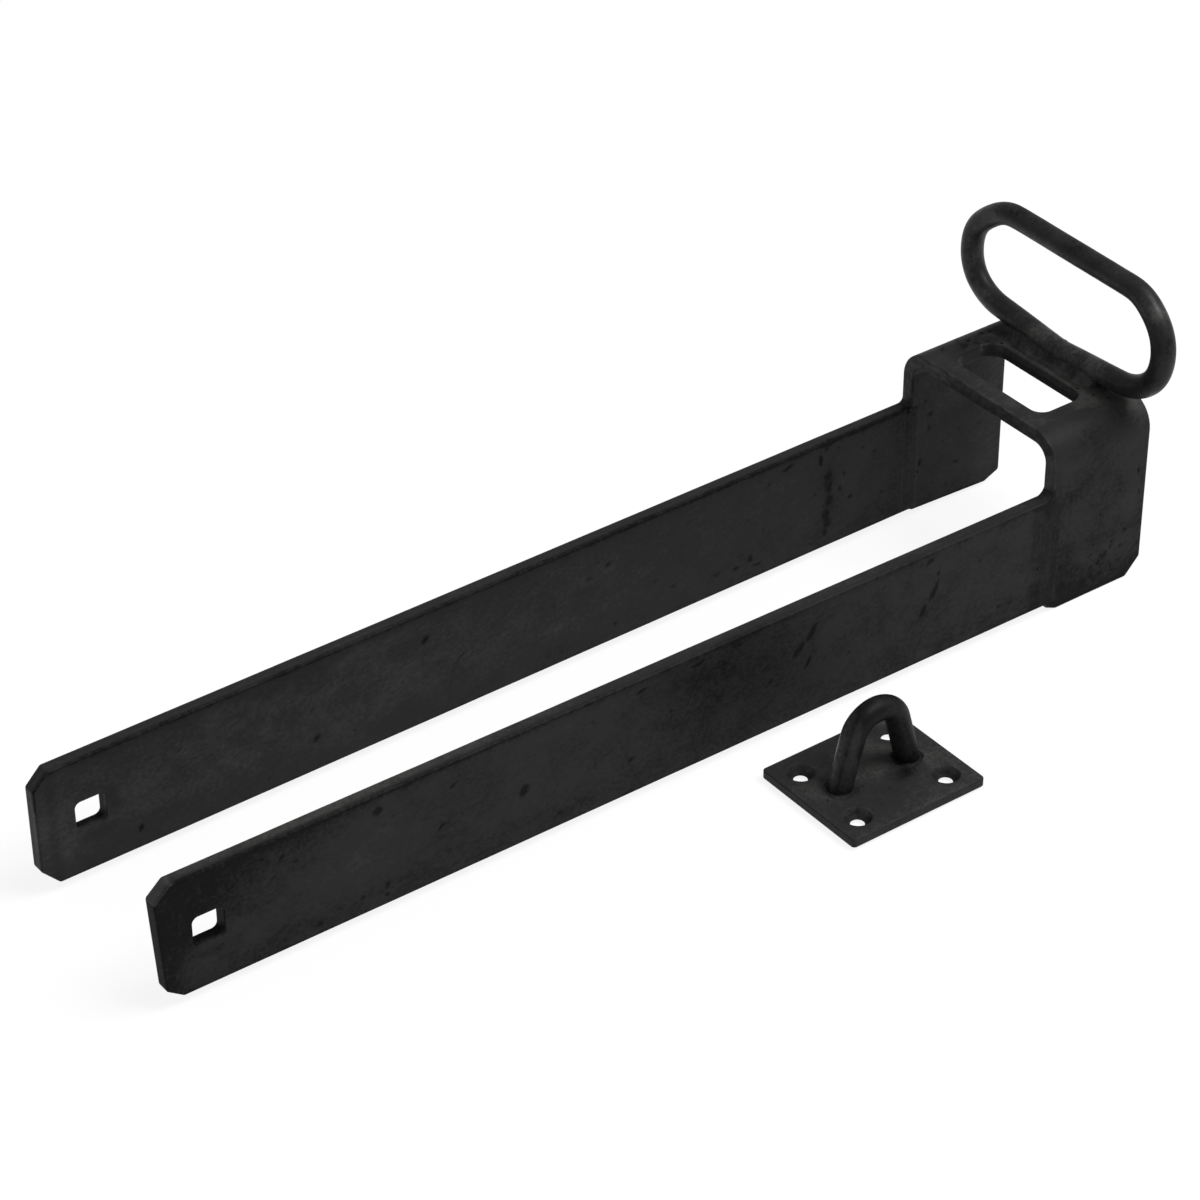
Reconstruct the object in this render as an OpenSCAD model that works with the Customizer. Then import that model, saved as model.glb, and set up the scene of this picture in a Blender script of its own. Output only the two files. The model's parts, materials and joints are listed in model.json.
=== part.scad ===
// Throw over gate latch: a flat-bar loop that pivots on one gate and drops over the
// head of the other, with a slotted bridge, a round-bar lifting handle and a loose
// staple on a plate. Millimetres. The origin lies on the pivot axis, midway between
// the two arms. +X runs along the arms to the bridge, +Y from the near arm to the
// far arm and +Z up. The staple lies on the same ground as the legs of the bridge.

/* [Flat bar] */
// Width of the flat bar that the arms are cut from
bar_h = 40; // [30:1:60]
// Thickness of the flat bar and of the bridge strap
bar_t = 5; // [4:0.5:8]
// Radius of the rolled edges of the flat bar
edge_r = 0.8; // [0.3:0.1:1.2]

/* [Arms] */
// Distance from the pivot axis to the front edge of the bridge
pivot_to_front = 312; // [220:1:580]
// Distance from the pivot axis to the square end of each arm
end_margin = 16.5; // [15:0.5:30]
// Size of the 45 degree clips on the corners of the arm ends
end_clip = 5; // [2:0.5:9]
// Clear gap between the arms at the pivot axis
gap_at_pivot = 60; // [45:0.5:80]
// Clear gap between the legs of the bridge
gap_at_bridge = 64; // [62:0.5:84]

/* [Pivot holes] */
// Side of the square hole for the neck of a coach bolt
pivot_hole = 10.5; // [8.5:0.5:13]
// Radius in the corners of the square hole
pivot_hole_r = 1.5; // [0.5:0.25:2.5]

/* [Bridge] */
// Width of the bridge strap, along the arms
bridge_w = 40; // [36:1:60]
// Height of the top of the bridge above the top edge of the arms
bridge_rise = 21.5; // [16:0.5:60]
// Inside radius of the two bends of the bridge
bend_r = 5.5; // [3:0.5:8]
// How far the legs reach below the lower edge of the arms
leg_drop = 2.5; // [1:0.5:8]
// Length of the clips on the lower corners of the legs, along the arms
leg_clip_w = 5.5; // [2:0.5:8]
// Height of the clip on the lower back corner of each leg
leg_clip_h = 4; // [1:0.5:8]
// Height of the clip on the lower front corner, as a share of how far the leg reaches down
leg_front_clip = 0.6; // [0.3:0.1:1]

/* [Slot] */
// Length of the slot, across the bridge
slot_length = 43.5; // [38:0.5:46]
// Width of the slot, along the arms
slot_w = 19; // [12:0.5:20]
// Metal left between the front edge of the bridge and the slot
slot_web = 6.5; // [5:0.5:9]
// Radius in the corners of the slot
slot_r = 4.5; // [2:0.5:6]

/* [Lifting handle] */
// Diameter of the round bar of the handle
handle_bar_d = 7.5; // [6:0.5:8]
// Distance between the centres of the two end bends
handle_span = 54.5; // [40:0.5:60]
// Radius of the end bends, to the middle of the bar
handle_bend_r = 17; // [12:0.5:22]
// How far the lower side dips to the joint in its middle
handle_dip = 2.25; // [1.5:0.25:4]
// Backward lean of the handle in degrees
handle_lean = 3.5; // [0:0.5:8]
// Distance from the middle of the bar to the back edge of the bridge
handle_setback = 6.25; // [6:0.25:7]

/* [Staple] */
// Length of the plate, along the arms
plate_l = 50.5; // [48:0.5:70]
// Width of the plate
plate_w = 43; // [36:1:60]
// Thickness of the plate
plate_t = 3; // [2.5:0.5:6]
// Radius on the sheared corners of the plate
plate_corner_r = 0.8; // [0.4:0.1:3]
// Diameter of the screw holes
screw_d = 4.8; // [3.5:0.1:5.5]
// Diameter of the countersinks
screw_head_d = 9; // [7.5:0.1:9.5]
// Distance of the screw holes from the edges of the plate
screw_inset = 8; // [6.5:0.25:9]
// Diameter of the round bar of the bow
bow_bar_d = 8; // [6:0.5:9]
// Distance between the feet of the bow, middle to middle
bow_span = 26.8; // [24:0.2:30]
// Radius of the top of the bow, to the middle of the bar
bow_bend_r = 9; // [8:0.5:12]
// Height of the bow above the plate
bow_height = 28; // [24:0.5:60]
// Distance from the pivot axis to the middle of the plate, where it lies
staple_x = 210; // [120:1:280]
// Clear distance between the staple and the near leg, where it lies
staple_gap = 14.2; // [13:0.2:60]

/* [Bent bars] */
// How much thinner the round bar is in its bends than in its straights
bend_thinning = 0.03; // [0.02:0.01:0.1]

/* [Welds] */
// Width of the butt weld at its root, on the outer face of the arms
weld_root = 1.5; // [0.5:0.25:2.5]
// Width of the butt weld on the inner face of the arms
weld_face = 6.5; // [4:0.5:9]
// Height of the weld bead over the inner face
weld_cap = 0.8; // [0.3:0.1:1.2]
// Radius of the weld fillet between the arm and the front edge of the leg
corner_fillet = 4; // [3:0.5:8]
// How far the welds under the handle stop short of its bends
handle_weld_short = 5.5; // [2:0.5:10]
// Size of the fillet weld in front of the handle
handle_weld_front = 3; // [2:0.25:4]
// Size of the fillet weld behind the handle
handle_weld_back = 2; // [1:0.25:2]
// Width of the bead that closes the handle
closing_bead_w = 3.2; // [2:0.2:4]
// Height of the bead that closes the handle
closing_bead_h = 0.5; // [0.3:0.1:0.8]
// Size of the fillet welds round the feet of the bow
foot_weld = 1.6; // [1:0.2:2]

/* [Hidden] */
$fn = 64;
over = 1;
pivot_to_back = pivot_to_front + bridge_w;
top_z = bar_h / 2 + bridge_rise;
under_z = top_z - bar_t;
leg_end_z = under_z - bend_r;
ground_z = -bar_h / 2 - leg_drop;
bend_y = gap_at_bridge / 2 - bend_r;
outer_y = gap_at_bridge / 2 + bar_t;
toe = atan((gap_at_bridge - gap_at_pivot) / 2 / pivot_to_front);

handle_r = handle_bar_d / 2;
handle_c = handle_span / 2;
handle_rise = handle_bend_r + handle_dip;
handle_far = norm([handle_c, handle_rise]);
handle_low = atan2(-handle_rise, -handle_c) + acos(handle_bend_r / handle_far);
handle_side = sqrt(handle_far * handle_far - handle_bend_r * handle_bend_r);
handle_tilt = handle_low + 90;
handle_x = pivot_to_back - handle_setback;
handle_z = top_z + handle_r / cos(handle_tilt);
handle_weld_length = 2 * (handle_side * cos(handle_tilt) - handle_weld_short);
under_bar = 1;
lap = 0.3;

bow_r = bow_bar_d / 2;
bow_c = bow_height - bow_r - bow_bend_r;
bow_far = norm([bow_span / 2, bow_c]);
bow_low = atan2(-bow_c, bow_span / 2) + acos(bow_bend_r / bow_far);
bow_side = sqrt(bow_far * bow_far - bow_bend_r * bow_bend_r);
staple_y = -(outer_y + staple_gap + plate_w / 2);
plate_top_z = ground_z + plate_t;

steel = "#2b2b2c";
weld_steel = "#323233";

// A rectangle about the origin with true arcs in its corners
module round_rect(length, width, r) {
    square([length - 2 * r, width], center = true);
    square([length, width - 2 * r], center = true);
    for (sx = [-1, 1], sy = [-1, 1])
        translate([sx * (length / 2 - r), sy * (width / 2 - r)]) circle(r);
}

// Turns a shape drawn in X and Y, and raised in Z, so that they become Y, Z and X
module along_x() {
    rotate([90, 0, 90]) children();
}

// What a straight clip takes off a corner of a side view. The corner lies at [x, z],
// with the metal on its side_x and side_z side, and the cut is thick along Y.
module clip_off(x, z, side_x, side_z, length, height, thick) {
    rotate([90, 0, 0]) linear_extrude(thick, center = true)
        polygon([[x + side_x * length, z], [x, z + side_z * height],
                 [x - side_x * over, z + side_z * height], [x - side_x * over, z - side_z * over],
                 [x + side_x * length, z - side_z * over]]);
}

// Plan of the single V of the butt weld, run past both faces of the bar by grow
module weld_plan(side, grow = 0) {
    slope = (weld_face - weld_root) / 2 / bar_t;
    inner = side * (gap_at_bridge / 2 - grow);
    outer = side * (gap_at_bridge / 2 + bar_t + grow);
    face = weld_face / 2 + slope * grow;
    root = weld_root / 2 - slope * grow;
    translate([pivot_to_front, 0])
        polygon([[-face, inner], [face, inner], [root, outer], [-root, outer]]);
}

// Plan of the rounded bead that stands over the inner face
module weld_cap_plan(side) {
    r = (weld_face * weld_face / 4 + weld_cap * weld_cap) / (2 * weld_cap);
    inner = side * gap_at_bridge / 2;
    intersection() {
        translate([pivot_to_front, inner + side * (r - weld_cap)]) circle(r, $fn = 96);
        translate([pivot_to_front - weld_face / 2, side > 0 ? inner - weld_cap - over : inner])
            square([weld_face, weld_cap + over]);
    }
}

// A cutter that ends the arm on the arm's side of the V
module beyond_weld(side) {
    slope = (weld_face - weld_root) / 2 / bar_t;
    inner = side * (gap_at_bridge / 2 - over);
    outer = side * (gap_at_bridge / 2 + bar_t + over);
    reach = pivot_to_front + weld_face;
    translate([0, 0, -bar_h]) linear_extrude(2 * bar_h)
        polygon([[pivot_to_front - weld_face / 2 - slope * over, inner], [reach, inner], [reach, outer],
                 [pivot_to_front - weld_root / 2 + slope * over, outer]]);
}

// Side is -1 for the near arm and 1 for the far arm
module arm(side) {
    length = end_margin + pivot_to_front + weld_face;
    difference() {
        translate([0, side * gap_at_pivot / 2, 0]) rotate([0, 0, side * toe]) difference() {
            translate([-end_margin, side * bar_t / 2, 0])
                along_x() linear_extrude(length - weld_face / 2) round_rect(bar_t, bar_h, edge_r);
            for (z = [-1, 1])
                clip_off(-end_margin, z * bar_h / 2, 1, -z, end_clip, end_clip, 4 * bar_t);
            rotate([90, 0, 0]) linear_extrude(4 * bar_t, center = true)
                round_rect(pivot_hole, pivot_hole, pivot_hole_r);
        }
        beyond_weld(side);
    }
}

// The folded strap: two legs, two bends and the top, with rolled edges all round
module strap() {
    for (side = [-1, 1]) {
        translate([pivot_to_front + bridge_w / 2, side * (gap_at_bridge + bar_t) / 2, ground_z])
            linear_extrude(leg_end_z - ground_z) round_rect(bridge_w, bar_t, edge_r);
        translate([pivot_to_front, side * bend_y, leg_end_z]) along_x()
            rotate([0, 0, side > 0 ? 0 : 90]) rotate_extrude(angle = 90)
                translate([bend_r + bar_t / 2, bridge_w / 2]) round_rect(bar_t, bridge_w, edge_r);
    }
    translate([pivot_to_front + bridge_w / 2, bend_y, top_z - bar_t / 2]) rotate([90, 0, 0])
        linear_extrude(2 * bend_y) round_rect(bridge_w, bar_t, edge_r);
}

module bridge() {
    color(steel) difference() {
        strap();
        clip_off(pivot_to_front, ground_z, 1, 1, leg_clip_w, leg_front_clip * leg_drop, 3 * outer_y);
        clip_off(pivot_to_back, ground_z, -1, 1, leg_clip_w, leg_clip_h, 3 * outer_y);
        for (side = [-1, 1])
            translate([0, 0, -bar_h / 2]) linear_extrude(bar_h) weld_plan(side, over / 10);
        translate([pivot_to_front + slot_web + slot_w / 2, 0, under_z - over])
            linear_extrude(bar_t + 2 * over) round_rect(slot_w, slot_length, slot_r);
    }
}

// One butt weld with its bead and the fillet in the corner over the arm
module arm_weld(side) {
    color(weld_steel) {
        translate([0, 0, -bar_h / 2]) linear_extrude(bar_h) {
            weld_plan(side);
            weld_cap_plan(side);
        }
        translate([pivot_to_front - corner_fillet, side * (gap_at_bridge + bar_t) / 2, bar_h / 2])
            rotate([90, 0, 0]) linear_extrude(bar_t - 2 * edge_r, center = true) difference() {
                square(corner_fillet);
                translate([0, corner_fillet]) circle(corner_fillet);
            }
    }
}

// Carries a shape from the plane of the handle, with its apex at the origin, to its place
module handle_place() {
    translate([handle_x, 0, handle_z]) rotate([0, handle_lean, 0]) along_x() children();
}

// One bend and one straight of the lower side, on the right of the joint
module handle_half() {
    lap_angle = lap / handle_bend_r * 180 / PI;
    translate([handle_c, handle_rise]) rotate([0, 0, handle_low - lap_angle])
        rotate_extrude(angle = 90 - handle_low + 2 * lap_angle)
            translate([handle_bend_r, 0]) circle(handle_r - bend_thinning);
    intersection() {
        rotate([0, 0, handle_tilt]) rotate([0, 90, 0]) translate([0, 0, -handle_bar_d])
            cylinder(h = handle_side + lap + handle_bar_d, r = handle_r);
        translate([0, -handle_span, -handle_span]) cube(2 * handle_span);
    }
}

// The closed bar. The thinner bends end a little inside the straights.
module handle_bar() {
    handle_place() {
        handle_half();
        mirror([1, 0, 0]) handle_half();
        translate([-handle_c - lap, handle_rise + handle_bend_r]) rotate([0, 90, 0])
            cylinder(h = 2 * (handle_c + lap), r = handle_r);
    }
}

module lifting_handle() {
    color(steel) handle_bar();
}

// The fillet weld on one side of the bar: -1 for the front and 1 for the back
module handle_weld(side, size) {
    height = handle_r - under_bar;
    color(weld_steel) difference() {
        translate([handle_x, handle_weld_length / 2, top_z]) rotate([90, 0, 0])
            linear_extrude(handle_weld_length)
                polygon([[side * (handle_r + size), 0], [side * under_bar, 0],
                         [side * under_bar, height], [side * handle_r, height]]);
        handle_bar();
    }
}

// The proud bead on the joint in the lower side of the handle
module handle_closing_weld() {
    r = (closing_bead_w * closing_bead_w / 4 + closing_bead_h * closing_bead_h) / (2 * closing_bead_h);
    color(weld_steel) difference() {
        translate([handle_x, 0, handle_z]) rotate([90, 0, 0]) rotate_extrude() intersection() {
            translate([handle_r + closing_bead_h - r, 0]) circle(r);
            translate([handle_r / 2, -closing_bead_w]) square([handle_r, 2 * closing_bead_w]);
        }
        handle_bar();
        translate([handle_x - handle_bar_d, -handle_bar_d, top_z - over])
            cube([2 * handle_bar_d, 2 * handle_bar_d, handle_r + over]);
    }
}

module staple_plate() {
    color(steel) translate([staple_x, staple_y, ground_z]) difference() {
        linear_extrude(plate_t) round_rect(plate_l, plate_w, plate_corner_r);
        for (sx = [-1, 1], sy = [-1, 1])
            translate([sx * (plate_l / 2 - screw_inset), sy * (plate_w / 2 - screw_inset), 0]) {
                translate([0, 0, -over]) cylinder(h = plate_t + 2 * over, d = screw_d);
                translate([0, 0, plate_t - (screw_head_d - screw_d) / 2])
                    cylinder(h = (screw_head_d - screw_d) / 2 + over,
                             r1 = screw_d / 2, r2 = screw_head_d / 2 + over);
            }
    }
}

// Runs its children along the leg of the bow on one side, with the foot at the origin
module bow_leg_place(side) {
    translate([side * bow_span / 2, 0, 0]) rotate([0, -side * bow_low, 0]) children();
}

module above_plate() {
    intersection() {
        children();
        translate([-plate_l, -plate_l, 0]) cube(2 * plate_l);
    }
}

// The bent bar. The thinner bend ends a little inside the straight legs.
module bow_bar() {
    lap_angle = lap / bow_bend_r * 180 / PI;
    translate([0, 0, bow_c]) rotate([90, 0, 0]) rotate([0, 0, bow_low - lap_angle])
        rotate_extrude(angle = 180 - 2 * bow_low + 2 * lap_angle)
            translate([bow_bend_r, 0]) circle(bow_r - bend_thinning);
    above_plate()
        for (side = [-1, 1])
            bow_leg_place(side) translate([0, 0, -bow_bar_d])
                cylinder(h = bow_side + lap + bow_bar_d, r = bow_r);
}

module staple_bow() {
    color(steel) translate([staple_x, staple_y, plate_top_z]) bow_bar();
}

// A hollow fillet round each foot of the bow
module staple_foot_welds() {
    color(weld_steel) translate([staple_x, staple_y, plate_top_z]) above_plate()
        for (side = [-1, 1])
            bow_leg_place(side) rotate_extrude() difference() {
                translate([bow_r, -bow_bar_d / 2]) square([foot_weld, bow_bar_d / 2 + foot_weld]);
                translate([bow_r + foot_weld, foot_weld]) circle(foot_weld);
            }
}

color(steel) arm(-1);  // near_arm
color(steel) arm(1);  // far_arm
bridge();
lifting_handle();
arm_weld(-1);  // near_arm_weld
arm_weld(1);  // far_arm_weld
handle_weld(-1, handle_weld_front);  // handle_front_weld
handle_weld(1, handle_weld_back);  // handle_back_weld
handle_closing_weld();
staple_plate();
staple_bow();
staple_foot_welds();
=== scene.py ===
# %% [markdown]
# A throw over gate latch
#
# This lesson dresses a small piece of blacksmith's work: a loop of flat bar that hangs on
# one gate and drops over the head of the other, and the staple that it is padlocked to.
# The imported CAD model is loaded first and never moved. Each visible piece is then made
# again with rolled edges, dents and weld ripples, and stands in for its CAD node.

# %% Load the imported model
import json
import math

import bmesh
import bpy
import numpy as np
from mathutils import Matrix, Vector
from mathutils.geometry import delaunay_2d_cdt

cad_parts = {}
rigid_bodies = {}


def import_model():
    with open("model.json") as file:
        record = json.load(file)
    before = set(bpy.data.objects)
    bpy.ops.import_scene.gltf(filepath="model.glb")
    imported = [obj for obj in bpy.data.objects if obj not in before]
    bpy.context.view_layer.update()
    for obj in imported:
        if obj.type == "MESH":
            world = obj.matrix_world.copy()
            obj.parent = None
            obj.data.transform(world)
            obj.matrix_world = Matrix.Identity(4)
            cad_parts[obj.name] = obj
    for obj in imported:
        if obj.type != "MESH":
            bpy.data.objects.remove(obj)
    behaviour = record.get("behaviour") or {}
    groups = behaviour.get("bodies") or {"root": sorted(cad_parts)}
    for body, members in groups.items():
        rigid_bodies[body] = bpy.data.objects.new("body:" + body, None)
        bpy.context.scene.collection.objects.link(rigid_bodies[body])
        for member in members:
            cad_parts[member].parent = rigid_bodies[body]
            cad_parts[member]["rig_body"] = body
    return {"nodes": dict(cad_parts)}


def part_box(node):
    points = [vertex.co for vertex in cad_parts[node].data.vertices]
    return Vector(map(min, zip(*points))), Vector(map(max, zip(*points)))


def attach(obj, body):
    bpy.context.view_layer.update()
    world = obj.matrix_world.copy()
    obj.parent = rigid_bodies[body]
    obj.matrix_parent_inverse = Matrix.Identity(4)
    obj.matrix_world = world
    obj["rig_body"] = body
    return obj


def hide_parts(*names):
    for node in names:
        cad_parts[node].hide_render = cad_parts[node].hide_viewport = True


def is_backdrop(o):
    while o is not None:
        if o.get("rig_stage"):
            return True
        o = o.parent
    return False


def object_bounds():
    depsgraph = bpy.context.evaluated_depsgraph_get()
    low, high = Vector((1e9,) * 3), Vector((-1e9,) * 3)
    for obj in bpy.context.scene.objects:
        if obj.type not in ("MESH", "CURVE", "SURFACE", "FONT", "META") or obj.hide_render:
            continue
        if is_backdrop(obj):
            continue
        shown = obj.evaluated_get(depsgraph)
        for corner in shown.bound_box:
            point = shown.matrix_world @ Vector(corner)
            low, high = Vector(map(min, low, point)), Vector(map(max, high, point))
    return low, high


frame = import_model()
cad_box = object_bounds()
print("CAD box in metres:", [[round(c, 4) for c in corner] for corner in cad_box])

# %% [markdown]
# The camera stands where the photographer stood: high on the left of the loop, far away
# and with a long lens, which is why the two arms look almost parallel. The lens and the
# three angles were found by matching the outline of the object, so nothing is guessed.

# %% The camera
MM = 0.001


def placed(name, data):
    """A new object at the origin of the scene."""
    obj = bpy.data.objects.new(name, data)
    bpy.context.scene.collection.objects.link(obj)
    return obj


camera = placed("camera", bpy.data.cameras.new("camera"))
camera.location = (-0.395008, -0.761506, 0.680652)
camera.rotation_euler = [math.radians(a) for a in (55.1576, 0.3846, -36.4238)]
camera.data.sensor_width = 36
camera.data.lens = 114.187
camera.data.clip_end = 100
bpy.context.scene.camera = camera
print("camera", round(camera.location.length, 3), "m from the pivot, lens", camera.data.lens)

# %% [markdown]
# Colours are written as a painter would pick them on screen, in sRGB hex. Blender works
# with linear light, so one function turns every one of them. Another small function adds
# any node with its settings and links, which keeps the node trees short to read.

# %% Colours and nodes
def colour(hex_code):
    """sRGB hex to linear RGBA."""
    parts = [int(hex_code[i:i + 2], 16) / 255 for i in (1, 3, 5)]
    return [c / 12.92 if c <= 0.04045 else ((c + 0.055) / 1.055) ** 2.4 for c in parts] + [1.0]


def add(tree, kind, inputs=None, **settings):
    """A node of any kind. An input is a value, a socket, or a node for its first output."""
    node = tree.nodes.new(kind)
    for name, value in settings.items():
        setattr(node, name, value)
    for name, value in (inputs or {}).items():
        value = value.outputs[0] if isinstance(value, bpy.types.Node) else value
        if isinstance(value, bpy.types.NodeSocket):
            tree.links.new(value, node.inputs[name])
        else:
            node.inputs[name].default_value = value
    return node


def calc(tree, operation, *values, **settings):
    """A node for one sum of numbers and sockets."""
    return add(tree, "ShaderNodeMath", dict(enumerate(values)), operation=operation, **settings)


def emptied(owner):
    """The node tree of a material or a world, without its nodes."""
    owner.use_nodes = True
    owner.node_tree.nodes.clear()
    return owner.node_tree


print("mid grey is", round(colour("#808080")[0], 3), "in linear light")

# %% [markdown]
# Almost black objects are judged by what they reflect, so the studio is kept plain: an
# even pale surround, and one broad lamp high on the right of the camera, so that the ends
# that face left stay darker than the tops. The floor is pale grey paper, which bounces
# little light onto the bars. To the camera alone the floor shows some light of its own and
# the surround is full white, as in a catalogue, and the floor keeps the shadow.

# %% Floor and light
# just below the near leg, which is the longer one
ground_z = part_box("staple_plate")[0].z - 0.001


def make_floor(half=30.0):
    """A square of paper that shows light of its own where the camera sees it."""
    mesh = bpy.data.meshes.new("floor")
    mesh.from_pydata([(x * half, y * half, ground_z) for x, y in ((-1, -1), (1, -1), (1, 1), (-1, 1))],
                     [], [(0, 1, 2, 3)])
    floor = placed("floor", mesh)
    paper = bpy.data.materials.new("white_studio_paper")
    tree = emptied(paper)
    ray = add(tree, "ShaderNodeLightPath").outputs
    seen = calc(tree, "MAXIMUM", ray["Is Camera Ray"], ray["Is Glossy Ray"])
    seen = calc(tree, "MAXIMUM", seen, ray["Is Transmission Ray"])
    share = calc(tree, "MULTIPLY", seen, 0.72)
    matt = add(tree, "ShaderNodeBsdfDiffuse", {"Color": colour("#c4c4c4")})
    lit = add(tree, "ShaderNodeEmission", {"Color": colour("#ffffff"), "Strength": 1.2})
    both = add(tree, "ShaderNodeMixShader", {0: share, 1: matt, 2: lit})
    add(tree, "ShaderNodeOutputMaterial", {"Surface": both})
    mesh.materials.append(paper)
    floor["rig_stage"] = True


def make_world():
    """A soft surround that is full white to the camera."""
    world = bpy.data.worlds.new("studio")
    bpy.context.scene.world = world
    tree = emptied(world)
    soft, white = [add(tree, "ShaderNodeBackground", {"Color": colour("#ffffff"), "Strength": strength})
                   for strength in (0.36, 1.0)]
    seen = add(tree, "ShaderNodeLightPath").outputs["Is Camera Ray"]
    both = add(tree, "ShaderNodeMixShader", {0: seen, 1: soft, 2: white})
    add(tree, "ShaderNodeOutputWorld", {"Surface": both})


def make_lamp(name, place, aim, size, watts):
    lamp = placed(name, bpy.data.lights.new(name, "AREA"))
    lamp.data.shape = "DISK"
    lamp.data.size = size
    lamp.data.energy = watts
    lamp.location = place
    lamp.rotation_euler = (Vector(aim) - Vector(place)).to_track_quat("-Z", "Y").to_euler()


make_floor()
make_world()
make_lamp("key", (1.0, -0.9, 2.2), (0.2, 0, 0), 1.4, 50)
bpy.context.scene.view_settings.view_transform = "Standard"
print("floor at", round(ground_z / MM, 2), "mm")

# %% [markdown]
# The real finish is mild steel, dipped in molten zinc and blacked over with thin paint.
# To the eye it is a soft charcoal: cloudy where the zinc crystals lie under the paint,
# dark and dull in pits and soot, a little paler where it is rubbed. The clouds come from
# noise on the object's own coordinates. Marks that have a place on the real piece can't
# come from noise, and nor can the painted shade and painted highlights that stand for the
# fall of light, so each mesh carries them in a point attribute called "tone", from -1 for
# soot and painted shade to 1 for a rub and painted light. A second attribute, "ground",
# marks where a weld was ground.

# %% Blacked zinc
def black_finish(name, deep, base, pale, cloud_mm, grain_mm, cloudy, grainy, rough, bump_mm,
                 gloss, streak=(1, 1, 1)):
    """Thin black paint in three tones, with clouds and grains of the given sizes."""
    material = bpy.data.materials.new(name)
    tree = emptied(material)

    def noise(vector, size_mm, detail, roughness=0.5, distortion=0.0):
        # 1 / size in metres gives the number of clouds or grains in a metre
        return add(tree, "ShaderNodeTexNoise", {
            "Vector": vector, "Scale": 1 / (size_mm * MM), "Detail": detail, "Roughness": roughness,
            "Distortion": distortion})

    def scaled(vector, scale):
        return add(tree, "ShaderNodeMapping", {"Vector": vector, "Scale": scale})

    def spread(value, low, high, to_low, to_high):
        return add(tree, "ShaderNodeMapRange", {"Value": value, "From Min": low, "From Max": high,
                                                "To Min": to_low, "To Max": to_high})

    where = add(tree, "ShaderNodeTexCoord").outputs["Object"]
    drawn = scaled(where, streak)
    clouds = noise(drawn, cloud_mm, 5.0, 0.66, 0.15)
    grain = noise(drawn, grain_mm, 3.0, 0.6)
    tone, ground = [add(tree, "ShaderNodeAttribute", attribute_name=label).outputs["Fac"]
                    for label in ("tone", "ground")]
    # vertical grinding lines, 1.5 mm apart and 40 mm long
    lines = noise(scaled(where, (1, 1, 0.04)), 1.5, 1.5)
    # grinding took the shine off too, so the lines lie in an evenly darker band
    lines = calc(tree, "MULTIPLY_ADD", lines, 0.36, -0.18 - 0.26)
    lines = calc(tree, "MULTIPLY", lines, ground)
    # the noises run from about 0.3 to 0.7 and are opened up round the middle
    mix = calc(tree, "MULTIPLY_ADD", clouds, cloudy, 0.5 - cloudy / 2)
    fine = calc(tree, "MULTIPLY_ADD", grain, grainy, -grainy / 2)
    mix = calc(tree, "ADD", mix, fine)
    # soot, rubs, painted shade and painted light are broken up by curly smears about 4 mm long
    smears = spread(noise(where, 4, 4.0, 0.72, 2.4), 0.34, 0.66, 0.6, 1.3)
    mark = calc(tree, "MULTIPLY", calc(tree, "MULTIPLY", tone, smears), 0.5)
    mix = calc(tree, "ADD", calc(tree, "ADD", mix, mark), lines, use_clamp=True)
    ramp = add(tree, "ShaderNodeValToRGB", {"Fac": mix})
    ramp.color_ramp.interpolation = "EASE"
    ramp.color_ramp.elements[0].color = colour(deep)
    ramp.color_ramp.elements[1].color = colour(pale)
    ramp.color_ramp.elements.new(0.5).color = colour(base)
    dull = spread(mix, 0.1, 0.9, rough + 0.14, rough - 0.1)
    relief = calc(tree, "MULTIPLY_ADD", grain, 0.4, clouds)
    bump = add(tree, "ShaderNodeBump", {"Height": relief, "Distance": bump_mm * MM, "Strength": 1.0})
    shader = add(tree, "ShaderNodeBsdfPrincipled", {
        "Base Color": ramp, "Roughness": dull, "Normal": bump,
        "Metallic": 0.0, "IOR": 1.5, "Specular IOR Level": gloss})
    add(tree, "ShaderNodeOutputMaterial", {"Surface": shader})
    return material


# Hot-dip zinc under thin black paint, rolled flat bar and plate: cloudy satin charcoal.
bar_black = black_finish("blacked_zinc_flat_bar", "#050505", "#272727", "#3f3f3e", 9, 1.2, cloudy=0.6,
                         grainy=0.45, rough=0.5, bump_mm=0.06, gloss=0.10, streak=(0.7, 1, 1))
# The same paint on drawn round bar, which is smoother and catches a streak of light.
round_black = black_finish("blacked_zinc_round_bar", "#070707", "#262626", "#484847", 7, 1.3,
                           cloudy=0.78, grainy=0.6, rough=0.42, bump_mm=0.07, gloss=0.17)
# The small plate was painted thinner: a finer, lighter mottle than on the bars.
plate_black = black_finish("blacked_zinc_plate", "#060606", "#2a2a2a", "#424241", 4, 0.9,
                           cloudy=0.55, grainy=0.6, rough=0.5, bump_mm=0.06, gloss=0.12)
# Weld metal under the same paint: knobbly, duller in its hollows and paler on its crests, where a bead
# carries a painted highlight.
weld_black = black_finish("blacked_weld_metal", "#050505", "#222222", "#434342", 5, 1.2,
                          cloudy=0.6, grainy=0.4, rough=0.5, bump_mm=0.08, gloss=0.12)
print("materials:", [m.name for m in bpy.data.materials])

# %% [markdown]
# Every piece is a closed mesh with its place in its vertices, in metres, and its object at
# the origin. This helper makes one from lists in millimetres, gives it its material,
# lets it stand for its CAD node and lets it ride on the body that the node rides on.

# %% From points to a piece
def set_layer(mesh, label, values):
    """Keeps one number for each point of a mesh, between -1 and 1."""
    layer = mesh.attributes.new(label, "FLOAT", "POINT")
    layer.data.foreach_set("value", np.clip(np.asarray(values, np.float32), -1, 1))


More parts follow.
